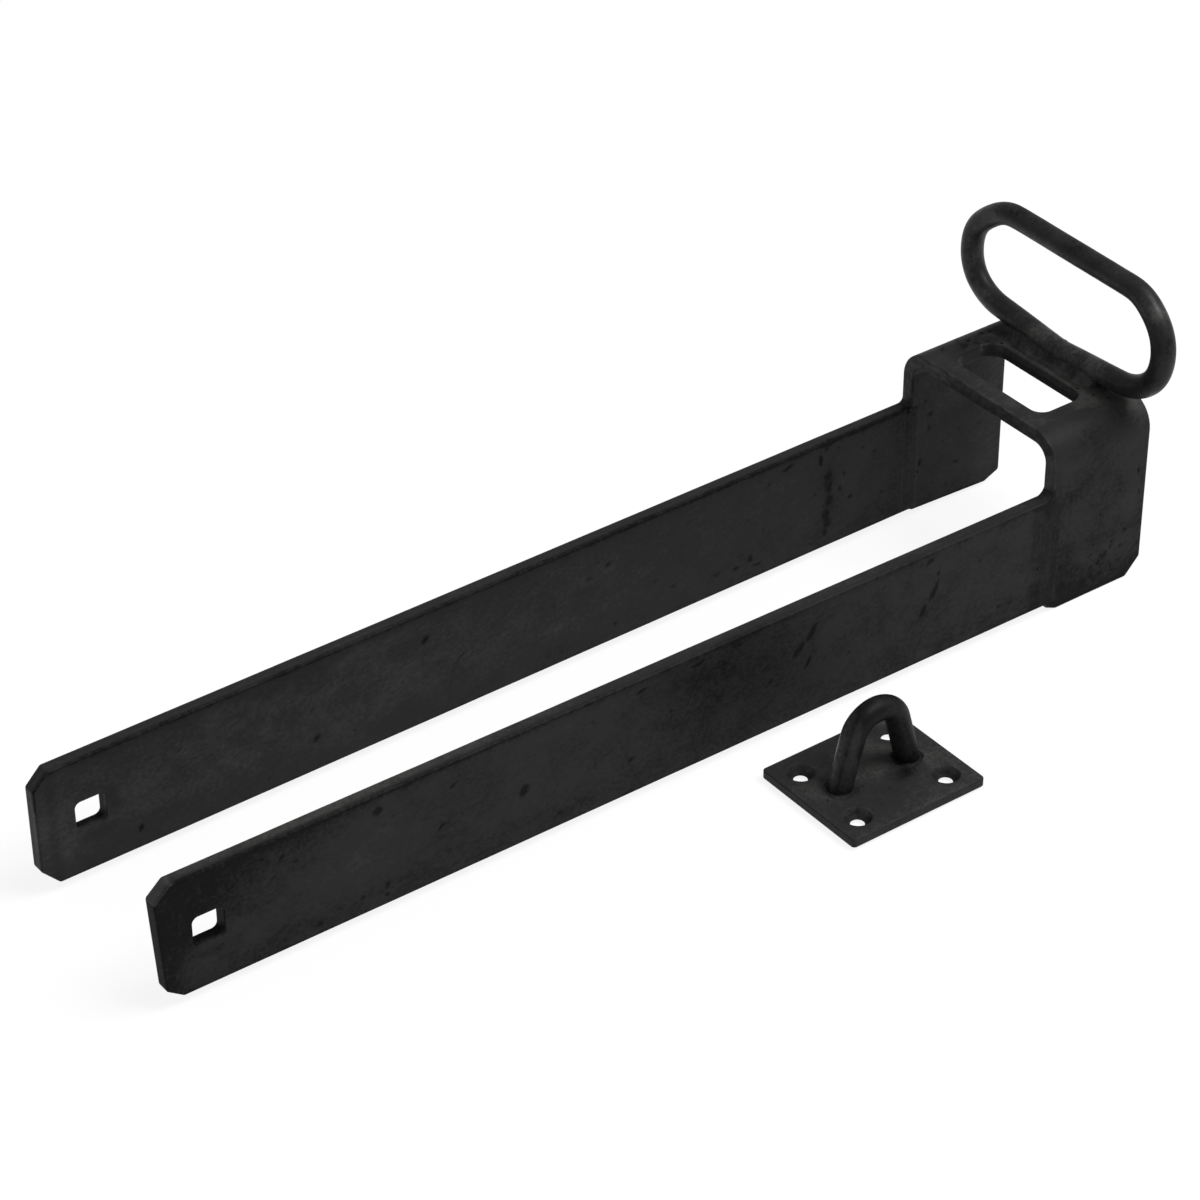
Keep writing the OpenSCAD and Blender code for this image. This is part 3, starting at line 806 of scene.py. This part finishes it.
# %% [markdown]
# Bars and beads all follow a path, and Geometry Nodes are made for that: a path goes in,
# a round section is swept along it, a slow noise takes away the machine-made look, and
# the tree ends in one real mesh. Named inputs make one tree do for the handle and the
# bow, with the section's width taken from the path's radius attribute.

# %% A node tree that sweeps a bar
def open_tree(name, inputs):
    """A node tree with named inputs (name, kind, value to start with), and their sockets."""
    tree = bpy.data.node_groups.new(name, "GeometryNodeTree")
    for label, kind, *start in inputs + [("Material", "Material")]:
        item = tree.interface.new_socket(label, in_out="INPUT", socket_type="NodeSocket" + kind)
        if start:
            item.default_value = start[0]
    tree.interface.new_socket("Geometry", in_out="OUTPUT", socket_type="NodeSocketGeometry")
    return tree, add(tree, "NodeGroupInput").outputs


def close_tree(tree, given, geometry):
    """Ends a tree in one real mesh with its material."""
    real = add(tree, "GeometryNodeRealizeInstances", {"Geometry": geometry})
    coated = add(tree, "GeometryNodeSetMaterial", {"Geometry": real, "Material": given["Material"]})
    add(tree, "NodeGroupOutput", {"Geometry": coated})
    print(tree.name, "has", len(tree.nodes), "nodes")
    return tree


def sweep_tree():
    tree, given = open_tree("sweep_along_path", [
        ("Path", "Geometry"), ("Sides", "Int", 24), ("Spacing", "Float", 0.001),
        ("Waviness", "Float", 0.0001), ("Wave Size", "Float", 0.02), ("Seed", "Float", 1.0)])
    fine = add(tree, "GeometryNodeResampleCurve", {"Curve": given["Path"], "Length": given["Spacing"]},
               mode="LENGTH")
    section = add(tree, "GeometryNodeCurvePrimitiveCircle", {"Resolution": given["Sides"], "Radius": 1.0})
    width = add(tree, "GeometryNodeInputRadius")
    bar = add(tree, "GeometryNodeCurveToMesh", {"Curve": fine, "Profile Curve": section, "Scale": width,
                                                "Fill Caps": True})
    scale = calc(tree, "DIVIDE", 1.0, given["Wave Size"])
    wave = add(tree, "ShaderNodeTexNoise", {"W": given["Seed"], "Scale": scale, "Detail": 1.5},
               noise_dimensions="4D")
    centred = add(tree, "ShaderNodeVectorMath", {0: wave.outputs["Color"], 1: (0.5, 0.5, 0.5)},
                  operation="SUBTRACT")
    offset = add(tree, "ShaderNodeVectorMath", {0: centred, "Scale": given["Waviness"]}, operation="SCALE")
    moved = add(tree, "GeometryNodeSetPosition", {"Geometry": bar, "Offset": offset})
    return close_tree(tree, given, moved)


def run_tree(name, data, tree, values):
    """Runs a node tree on a curve or mesh and keeps the result as a plain mesh object."""
    carrier = placed(name + "_path", data)
    modifier = carrier.modifiers.new("nodes", "NODES")
    modifier.node_group = tree
    for item in tree.interface.items_tree:
        if item.name in values:
            modifier[item.identifier] = values[item.name]
    bpy.context.view_layer.update()
    mesh = bpy.data.meshes.new_from_object(carrier.evaluated_get(bpy.context.evaluated_depsgraph_get()))
    mesh.name = name
    bpy.data.objects.remove(carrier)
    return placed(name, mesh)


def round_bar(name, line, radii, closed, wave_mm, spacing_mm, waviness_mm, seed, tone_at, nodes):
    """A bar swept along points in millimetres, with its radius at each and a tone by place."""
    curve = bpy.data.curves.new(name, "CURVE")
    curve.dimensions = "3D"
    spline = curve.splines.new("POLY")
    spline.points.add(len(line) - 1)
    for target, p, r in zip(spline.points, line, radii):
        target.co = (*[c * MM for c in p], 1)
        target.radius = r * MM
    spline.use_cyclic_u = closed
    bar = run_tree(name, curve, SWEEP, {
        "Sides": 40, "Spacing": spacing_mm * MM, "Waviness": waviness_mm * MM, "Wave Size": wave_mm * MM,
        "Seed": seed, "Material": round_black})
    at = np.array([v.co for v in bar.data.vertices]) / MM
    set_layer(bar.data, "tone", tone_at(*at.T))
    finish(bar, nodes, 60)


SWEEP = sweep_tree()

# %% [markdown]
# The lifting handle is one length of 7.5 mm bar, bent round two ends and butted in the
# middle of its lower side, which dips towards the joint. It leans back a little. Its path
# is drawn from straight lines and true arcs, then swept. The bends of the real one are
# scarcely thinner than the straights, and the dipping has left slow waves in the zinc.

# %% The lifting handle
HANDLE_R, SETBACK = 3.75, 6.25


def handle_path(span=54.5, bend=17.0, dip=2.25, lean=3.5, step=0.8, oval=1.07, roll=0.9, drop=0.3):
    """Half of it from the joint to the middle of the top, and that half mirrored."""
    c, h = span / 2, bend + dip
    low = math.atan2(-h, -c) + math.acos(bend / math.hypot(c, h))
    foot = np.array([c + bend * math.cos(low), h + bend * math.sin(low)])
    reach = np.linalg.norm(foot)
    turns = low + np.arange(int((math.pi / 2 - low) * bend / step) + 1) * step / bend
    lower = foot * np.arange(int(reach / step))[:, None] * step / reach
    upper = [(x, h + bend) for x in np.arange(c, 0, -step)]
    half = np.concatenate([lower, arc(c, h, bend, turns), upper])
    across, up = np.concatenate([half, half[:0:-1] * [-1, 1]]).T
    # both ends sag: lower over their tops and fuller at their feet
    out, far_end = np.abs(across) - c, across > 0
    crown = np.exp(-((out - 11) ** 2 + (up - 31) ** 2) / 60) * np.where(far_end, 1.5, 0.7)
    heel = np.exp(-((out - 13) ** 2 + (up - 9) ** 2) / 90) * np.where(far_end, 0.7, 1.0)
    across, up = across + np.sign(across) * heel, up - crown + heel * np.where(far_end, -0.3, 0.4)
    # the far end was bent over a wider pin, and the whole handle was welded on a little rolled
    across = np.where(across > c, c + (across - c) * oval, across)
    across, up = turned(across, up, math.radians(roll), 0, -drop)
    z0 = TOP + HANDLE_R / math.cos(low + math.pi / 2)
    lean = math.radians(lean)
    return np.stack([BACK - SETBACK + up * math.sin(lean), across, z0 + up * math.cos(lean)], 1)


def blots(x, y, z, rows):
    """Soot, rubs, painted highlights and painted shade (tone, x, y, z, size), each fading over its size in
    millimetres.
    """
    return sum(tone * np.exp(-((x - px) ** 2 + (y - py) ** 2 + (z - pz) ** 2) / size ** 2)
               for tone, px, py, pz, size in rows)


def handle_tone(x, y, z):
    """Painted highlights and shade by place, and painted light and shade across the lower and the upper
    side.
    """
    # painted highlights on the front of the far bend and on the near shoulder, painted shade on the outer
    # sides of both ends and low on the near bend, and darker and paler places along the lower side
    tone = blots(x, y, z, (
        (0.55, 343, 43, 64, 9), (0.3, 343, 36, 52, 8), (0.3, 342, -38, 79, 6.5), (0.3, 340, -38, 58, 7),
        (-0.9, 343, -45, 56, 5), (-0.45, 342, -46, 70, 7), (-0.6, 344, -33, 49, 6), (-0.5, 345, 48, 70, 5),
        (-0.35, 346, 20, 49, 9), (0.25, 344, 6, 49, 6)))
    # the lower side is painted paler, and the inside of the far bend carries painted shade
    tone += 0.36 * fade(z, 48, 54)
    tone -= ease(y, 24, 30) * ease(z, 50, 54) * fade(np.hypot(26 - np.abs(y), z - 64), 13.2, 16.5)
    # the upper side has a line of painted highlight under a crown of painted shade
    tone += 0.35 * ease(z, 75, 78) * fade(z, 80, 82.5) - 0.25 * ease(z, 82.5, 84.5) - 0.15 * ease(z, 72, 80)
    return tone + 0.25 * np.sin(y * 0.35 + z * 0.22) * np.sin(y * 0.13 + 1.0) + 0.06


ring = handle_path()
# the bar was squeezed a little fuller in the near bend
handle_radii = 3.80 + 0.18 * ease(-ring[:, 1], 26, 40)
round_bar("lifting_handle_bar", ring, handle_radii, True, 14, 0.9, 0.22, 3.0, handle_tone,
          ["lifting_handle"])

# %% [markdown]
# The staple is a 3 mm plate with four countersunk holes, and a bow of 8 mm round bar bent
# over an 18 mm pin and welded on by its feet. A countersink is only another edge profile:
# it goes down a cone first, and then down the plain hole.

# %% The staple plate
SX, SY = 210.0, -72.7
PLATE, PLATE_X, PLATE_Y = 3.0, 25.25, 21.5
HEAD, SCREW = 4.4, 2.2
PLATE_TOP = GROUND + PLATE


def plate_place(x, y, level):
    return np.stack([SX + x, SY + y, GROUND + PLATE / 2 + level], 1)


def sheared(x, y, height):
    """Pale sheared rims, edges in painted shade, and painted light that pales the top to the right."""
    face = on_face(height, PLATE)
    tone = np.where(face, 0.10 * bell(np.minimum(PLATE_X - np.abs(x), PLATE_Y - np.abs(y)), 0.9), -0.22)
    return tone + (face & (height > 0)) * (0.18 + 0.4 * np.clip((x - y) / 60, -0.3, 0.5)), None


countersink = [(HEAD - SCREW + 0.15, 1.5), (HEAD - SCREW, 1.42), (1.2, 0.25), (0.3, -0.95), (0.1, -1.15),
               (0, -1.3), (0.08, -1.5)]
screws = [(i * 17.25, j * 13.5) for i in (-1, 1) for j in (-1, 1)]
# soot round the feet of the bow and the bow's painted shadow, painted light between and beside the feet, a
# darker ring and a painted glint at each screw
plate_marks = [(2, -16, 5, 2, 0.3, 0.03, 0.2)] + clouds([
    (-10.4, -2.2, 4.5, 4.5, -0.85, 0.3), (12.4, -4.4, 5, 5, -0.75, 0.2), (6.8, -5.2, 6, 5, -0.8, 0.4),
    (-10, 6, 9, 6, -0.20), (14, 9, 6, 5, -0.25), (-15, 5, 11, 11, 0.8, 0.3), (4, 6, 16, 10, 0.75),
    (18, 14, 6, 9, 0.6), (-2, -11, 18, 9, -0.3), (16.5, -4, 7, 6, 0.4), (10, 19, 8, 4, -0.6)])
plate_marks += clouds([(x, y, 6, 6, -0.40) for x, y in screws])
plate_marks += clouds([(x + 3.6, y + 0.4, 1.6, 2.6, 0.9) for x, y in screws])
plate_marks += dots([(x, y, 0.5, 0.4) for x, y in (
    (5, -12), (-4, -9), (8, 3), (-16, 2), (20, -4), (12, 14), (-6, 12), (1, 4))], 0.08, -0.5)
flat_piece("staple_base_plate", PLATE, box_loop(PLATE_X, PLATE_Y, 0.9),
           [arc(x, y, SCREW, np.arange(40) * 2 * math.pi / 40) for x, y in screws], plate_place,
           ["staple_plate"], sheared, (plate_marks, ()), countersink, seed=4,
           edge=edge_profile(PLATE, 0.35, 0.25, 3), step=0.9, swell=0.03, material=plate_black, proud=0.4)

# %% The bow
def bow_path(span=26.8, bend=9.0, height=28.0, bar_r=4.0, drop=0.4):
    """Two straight legs and the round top that they touch."""
    c = height - bar_r - bend
    low = math.atan2(-c, span / 2) + math.acos(bend / math.hypot(span / 2, c))
    foot, top = np.array([span / 2, 0.0]), arc(0, c, bend, np.linspace(low, math.pi / 2, 22))
    half = np.concatenate([foot + (top[0] - foot) * np.arange(24)[:, None] / 24, top])
    line = np.concatenate([half, half[-2::-1] * [-1, 1]])
    line[[0, -1], 1] -= drop
    return np.stack([SX + line[:, 0], np.full(len(line), SY), PLATE_TOP + line[:, 1]], 1)


def bow_tone(x, y, z):
    """Painted highlights and shade and darker feet, found from the nearest point of the bow's middle line.
    """
    up = z - PLATE_TOP
    near = bow_line[np.hypot(x[:, None] - bow_line[:, 0], z[:, None] - bow_line[:, 2]).argmin(1)]
    off_x, off_z = x - near[:, 0], z - near[:, 2]
    out_x, out_z = near[:, 0] - SX, near[:, 2] - PLATE_TOP - 8
    inner = -(off_x * out_x + off_z * out_z) / np.hypot(out_x, out_z)
    side = 0.66 * (y - SY) - 0.75 * off_x
    # a painted highlight on the shoulder of the near leg, painted shade over the top, and a darker near
    # foot
    tone = blots(x - SX, y - SY, z - GROUND, (
        (0.7, -11.2, -2.4, 27, 3.4), (0.5, -13, -3, 22, 3.6), (-1.5, -2, -3, 30, 6), (-1.1, 6, -1, 30, 8),
        (-0.5, -9, -3, 8, 6)))
    # its left side, seen from the camera, has a painted highlight along its rim and a line of painted shade
    # beside it
    tone += 0.6 * ease(side, 1.6, 3.0) * ease(up, 1, 5) * fade(x, SX - 1, SX + 4)
    tone -= 0.8 * bell(side - 1.0, 0.6) * fade(x, SX - 9, SX - 4)
    # painted shade inside the bend and on the right of the far leg, and darker at both feet
    tone -= 1.4 * bell(inner - 0.9, 1.4) * (x < SX + 1) * ease(up, 9, 16)
    tone -= 0.8 * ease(-side, 1.0, 3.6) * ease(x, SX + 4, SX + 9)
    tone -= 0.5 * ease(x, SX + 8, SX + 14) * ease(-inner, 1, 3) + 0.7 * bell(up, 3.0)
    # the whole bow is a little darker, with painted light low on the near leg
    return tone - 0.25 + 0.40 * fade(x, SX - 12, SX - 6) * fade(up, 14, 22)


bow_line = bow_path()
round_bar("staple_round_bow", bow_line, [3.93] * len(bow_line), False, 10, 0.8, 0.2, 8.0, bow_tone,
          ["staple_bow"])

# %% [markdown]
# Runs of weld hold the loop and the staple together. A run is a row of frozen ripples, so
# its section swells and shrinks once a ripple. The butt welds were ground flush outside
# and left as a low bead inside, and the handle's welds are plain fillets. Each is swept
# in code, because its section isn't round, with the ripples as a function.

# %% Swept weld metal
def swept(rows, closed=False):
    """Points and faces of a row of equal sections, capped at its ends or joined to a ring."""
    m, n = len(rows), len(rows[0])
    faces = [(k * n + i, k * n + (i + 1) % n, (k + 1) % m * n + (i + 1) % n, (k + 1) % m * n + i)
             for k in range(m if closed else m - 1) for i in range(n)]
    caps = [] if closed else [tuple(range(n))[::-1], tuple(range((m - 1) * n, m * n))]
    return np.concatenate(rows), faces + caps


def join(first, second):
    """Two sweeps as one list of points and one of faces."""
    (points, faces), (more, others) = first, second
    return np.concatenate([points, more]), faces + [tuple(i + len(points) for i in f) for f in others]


def ripple(s, pitch, seed):
    """0 to 1 along a run: a steep rise and a slow fall once a pitch, never quite even."""
    a, b = np.random.default_rng(seed).uniform(0, 6, 2)
    return 1 - ((s / pitch + 0.25 * math.sin(s * 0.7 + a) + 0.15 * math.sin(s * 1.9 + b)) % 1.0) ** 1.4


def butt_weld(side, seed, high=0.16, wide=3.4, pitch=2.6):
    """The V between an arm and a leg, flush outside and beaded inside."""
    rows = []
    for z in np.linspace(-ARM_TOP, ARM_TOP, 81):
        cap = (high + 0.06 * ripple(z, pitch, seed)) * min(1, (ARM_TOP - abs(z)) / 1.2 + 0.35)
        half = wide + 0.12 * math.sin(z * 1.3 + seed)
        plan = [(x, OUTER + 0.04 - 0.005 * x * x) for x in (-4.2, -2.8, -1.4, 0, 1.4, 2.8, 4.2)]
        for t in np.linspace(1, -1, 13):
            # two raised toes with a hollow between them
            bump = cap * (0.6 + 0.4 * abs(t) ** 1.5) * (1 - t * t) ** 1.3 - 0.02
            plan.append((half * t, INNER - bump))
        shrink = 1.0 if abs(z) < ARM_TOP else 0.998
        rows.append([(FRONT + x, side * y, z * shrink) for x, y in plan])
    return swept(rows)


def corner_fillet(side, r, seed):
    """The small hollow of weld metal in the corner over the arm."""
    rows = []
    for k, y in enumerate(np.linspace(INNER + 0.2, OUTER - 0.02, 13)):
        size = r * (1 - 0.10 * (abs(k - 6) / 6) ** 3) * (1 + 0.05 * math.sin(k * 1.7 + seed))
        section = [(size * math.sin(a) - size, size - size * math.cos(a))
                   for a in np.linspace(0, math.pi / 2, 9)]
        section += [(0.6, size), (0.6, -0.6), (-size, -0.6)]
        rows.append([(FRONT + x, side * y, ARM_TOP + z) for x, z in section])
    return swept(rows)


for side, name, r, seed in ((-1, "near_arm", 4.0, 2), (1, "far_arm", 2.2, 6)):
    points, faces = join(butt_weld(side, seed), corner_fillet(side, r, seed))
    inner, outer = np.abs(points[:, 1]) < INNER + 0.5, np.abs(points[:, 1]) > OUTER - 0.1
    along = points[:, 0] - FRONT
    # the hollow between the toes is darker, the toe on the arm carries a painted highlight and the other
    # painted shade, the ground outside is a little darker and the corner fillet paler on top
    tone = inner * np.where(np.abs(along) < 2.4, -0.42, np.where(along < 0, 0.12, -0.12)) - 0.10 * outer
    tone += 0.30 * (~inner & ~outer & (points[:, 2] > ARM_TOP - 0.5))
    piece(name + "_butt_weld", points, faces, weld_black, [name + "_weld"], tone, outer, smooth=50)

# %% The fillets under the handle
handle_x = BACK - SETBACK


def bar_middle(y):
    """Height of the handle's lower side over the bridge at a place across it."""
    near = ring[np.abs(ring[:, 0] - handle_x) < 1.5]
    order = np.argsort(near[:, 1])
    return float(np.interp(y, near[order, 1], near[order, 2]))


def fillet_run(side, size, seed, reach=19.0, pitch=2.8, root=1.2, skin=0.2, toe=0.12):
    """A hollow fillet from the bridge to just inside the bar, 14 degrees above its middle."""
    rows, angle, touch_r = [], math.radians(14), 3.4
    for y in np.linspace(-reach, reach, int(reach * 4)):
        end = math.sqrt(min(1.0, (reach - abs(y)) / 4 + 0.01))
        swell = (0.95 + 0.05 * ripple(y, pitch, seed)) * end * (1 + 0.05 * math.sin(y * 0.35 + seed))
        foot, z_bar = HANDLE_R + size * swell, bar_middle(y)
        touch = (touch_r * math.cos(angle), z_bar + touch_r * math.sin(angle))
        section = [(root, TOP - skin), (foot, TOP - skin), (foot - 0.05, TOP + toe)]
        for t in [k / 6 for k in range(1, 6)]:
            hollow = 0.26 * size * math.sin(math.pi * t) * 0.7
            section.append(((1 - t) * foot + t * touch[0] - hollow,
                            (1 - t) * (TOP + toe) + t * touch[1] - hollow))
        section += [touch, (root, z_bar + 0.4)]
        rows.append([(handle_x + side * x, y, z) for x, z in section])
    return swept(rows)


for side, node, size, seed in ((-1, "handle_front_weld", 2.9, 11), (1, "handle_back_weld", 1.9, 12)):
    points, faces = fillet_run(side, size, seed)
    y = points[:, 1]
    # the beads are painted paler all over, lifting the handle's shadow, and paler still towards the near
    # end
    tone = 0.45 + 0.14 * np.sin(y * 0.45 + seed) + 0.05 * np.sin(y * 1.7) + 0.45 * fade(y, -15.5, -11)
    piece(node + "_bead", points, faces, weld_black, [node], tone, smooth=60)

# %% [markdown]
# The closing bead is the seam where the two ends of the handle's bar meet: a low raised
# band that runs over the bar and stops at the fillets. It is swept round the bar itself.

# %% The closing bead and the collars at the feet
def closing_bead(width=2.8, height=0.25, reach=110, root=2.6):
    """A low band over the bar, as far round to each side as its reach in degrees."""
    rows = []
    for a in np.radians(np.linspace(90 - reach, 90 + reach, 45)):
        end = min(1.0, (math.radians(reach) - abs(a - math.pi / 2)) / 0.35 + 0.2)
        half = width / 2 * (0.94 + 0.06 * math.sin(a * 5))
        rise = height * end * (0.8 + 0.2 * math.sin(a * 9))
        section = [(t * half, HANDLE_R - 0.05 + rise * (1 - t * t)) for t in np.linspace(-1, 1, 9)]
        section += [(width / 2, root), (-width / 2, root)]
        rows.append([(handle_x + r * math.cos(a), y, bar_middle(0) + r * math.sin(a)) for y, r in section])
    return swept(rows)


points, faces = closing_bead()
piece("handle_closing_bead", points, faces, weld_black, ["handle_closing_weld"], np.full(len(points), 0.45),
      smooth=60)


def collar(side, seed, foot=13.4, lean=3.8 / 14.4, mean=1.15, inner=3.85, root=3.2):
    """The fillet round a foot of the bow, closed on itself. It leans in with the leg."""
    rows = []
    for a in np.arange(48) * 2 * math.pi / 48:
        size = mean * (1 + 0.16 * math.sin(3 * a + seed) + 0.1 * math.sin(7 * a + 2 * seed))
        section = [(inner + size - size * math.sin(b), size - size * math.cos(b))
                   for b in np.linspace(0, math.pi / 2, 7)]
        section += [(root, size), (root, -0.1), (inner + size, -0.1)]
        rows.append([(SX + side * (foot - h * lean) + r * math.cos(a), SY + r * math.sin(a), PLATE_TOP + h)
                     for r, h in section])
    return swept(rows, closed=True)


points, faces = join(collar(-1, 1.0), collar(1, 2.2))
# the collars are dark, paler on the outer side of the near foot and on their far side
tone = -0.55 + 0.75 * fade(points[:, 0] - SX, -17, -13) + 0.3 * ease(points[:, 1] - SY, 0, 3)
piece("staple_foot_welds_bead", points, faces, weld_black, ["staple_foot_welds"], tone, smooth=60)

# %% [markdown]
# Welding throws small balls of metal that freeze where they land. They are tiny but catch
# the light, so a second node tree puts a ball of a random size on each point of a mesh,
# always with the same seed.

# %% Spatter
def spatter_tree():
    tree, given = open_tree("balls_on_points", [
        ("Points", "Geometry"), ("Smallest", "Float", 0.0002), ("Largest", "Float", 0.0005),
        ("Seed", "Int", 1)])
    ball = add(tree, "GeometryNodeMeshIcoSphere", {"Radius": 1.0, "Subdivisions": 3})
    size = add(tree, "FunctionNodeRandomValue",
               {2: given["Smallest"], 3: given["Largest"], "Seed": given["Seed"]}, data_type="FLOAT")
    return close_tree(tree, given, add(tree, "GeometryNodeInstanceOnPoints", {
        "Points": given["Points"], "Instance": ball, "Scale": size.outputs[1]}))


SPATTER = spatter_tree()


def scatter(name, places, smallest, largest, body, seed):
    """Balls of weld metal at places in millimetres."""
    cloud = bpy.data.meshes.new(name)
    cloud.from_pydata([tuple(c * MM for c in p) for p in places], [], [])
    obj = run_tree(name, cloud, SPATTER, {"Smallest": smallest * MM, "Largest": largest * MM,
                                          "Seed": seed, "Material": weld_black})
    for f in obj.data.polygons:
        f.use_smooth = True
    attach(obj, body)
    print(f"{name}: {len(places)} balls, {len(obj.data.polygons)} faces")


scatter("loop_weld_spatter", [
    (308.9, 33.4, 20.3), (310.6, 31.9, 18.6), (313, 32, 16.9), (336.2, -19, TOP), (338.4, -16.8, TOP),
    (339.8, -22.6, TOP), (349.9, -11, TOP), (341, 14.6, TOP), (337.8, 18.8, TOP), (331.8, 22.9, TOP),
    (307.3, -37, -4.2), (317.1, -37, 2.3), (315.8, 32, -6.5), (340.6, -25.2, TOP), (342.4, -27, TOP)],
    0.25, 0.6, "loop", seed=5)
scatter("staple_weld_spatter", [(SX + x, SY + y, PLATE_TOP) for x, y in (
    (-6.5, -3.0), (7.6, -5.6), (-19.3, -2.0), (18.4, 2.8))], 0.2, 0.4, "staple", seed=9)

# %% [markdown]
# Zinc and paint stand a little proud, so the dressed latch may pass the CAD model's box
# by a millimetre or so, but no more. Both boxes are measured and printed to show that.

# %% Measure and finish
visual_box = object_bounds()
for label, box in (("CAD", cad_box), ("visual", visual_box)):
    print(label, [[round(c / MM, 2) for c in corner] for corner in box])
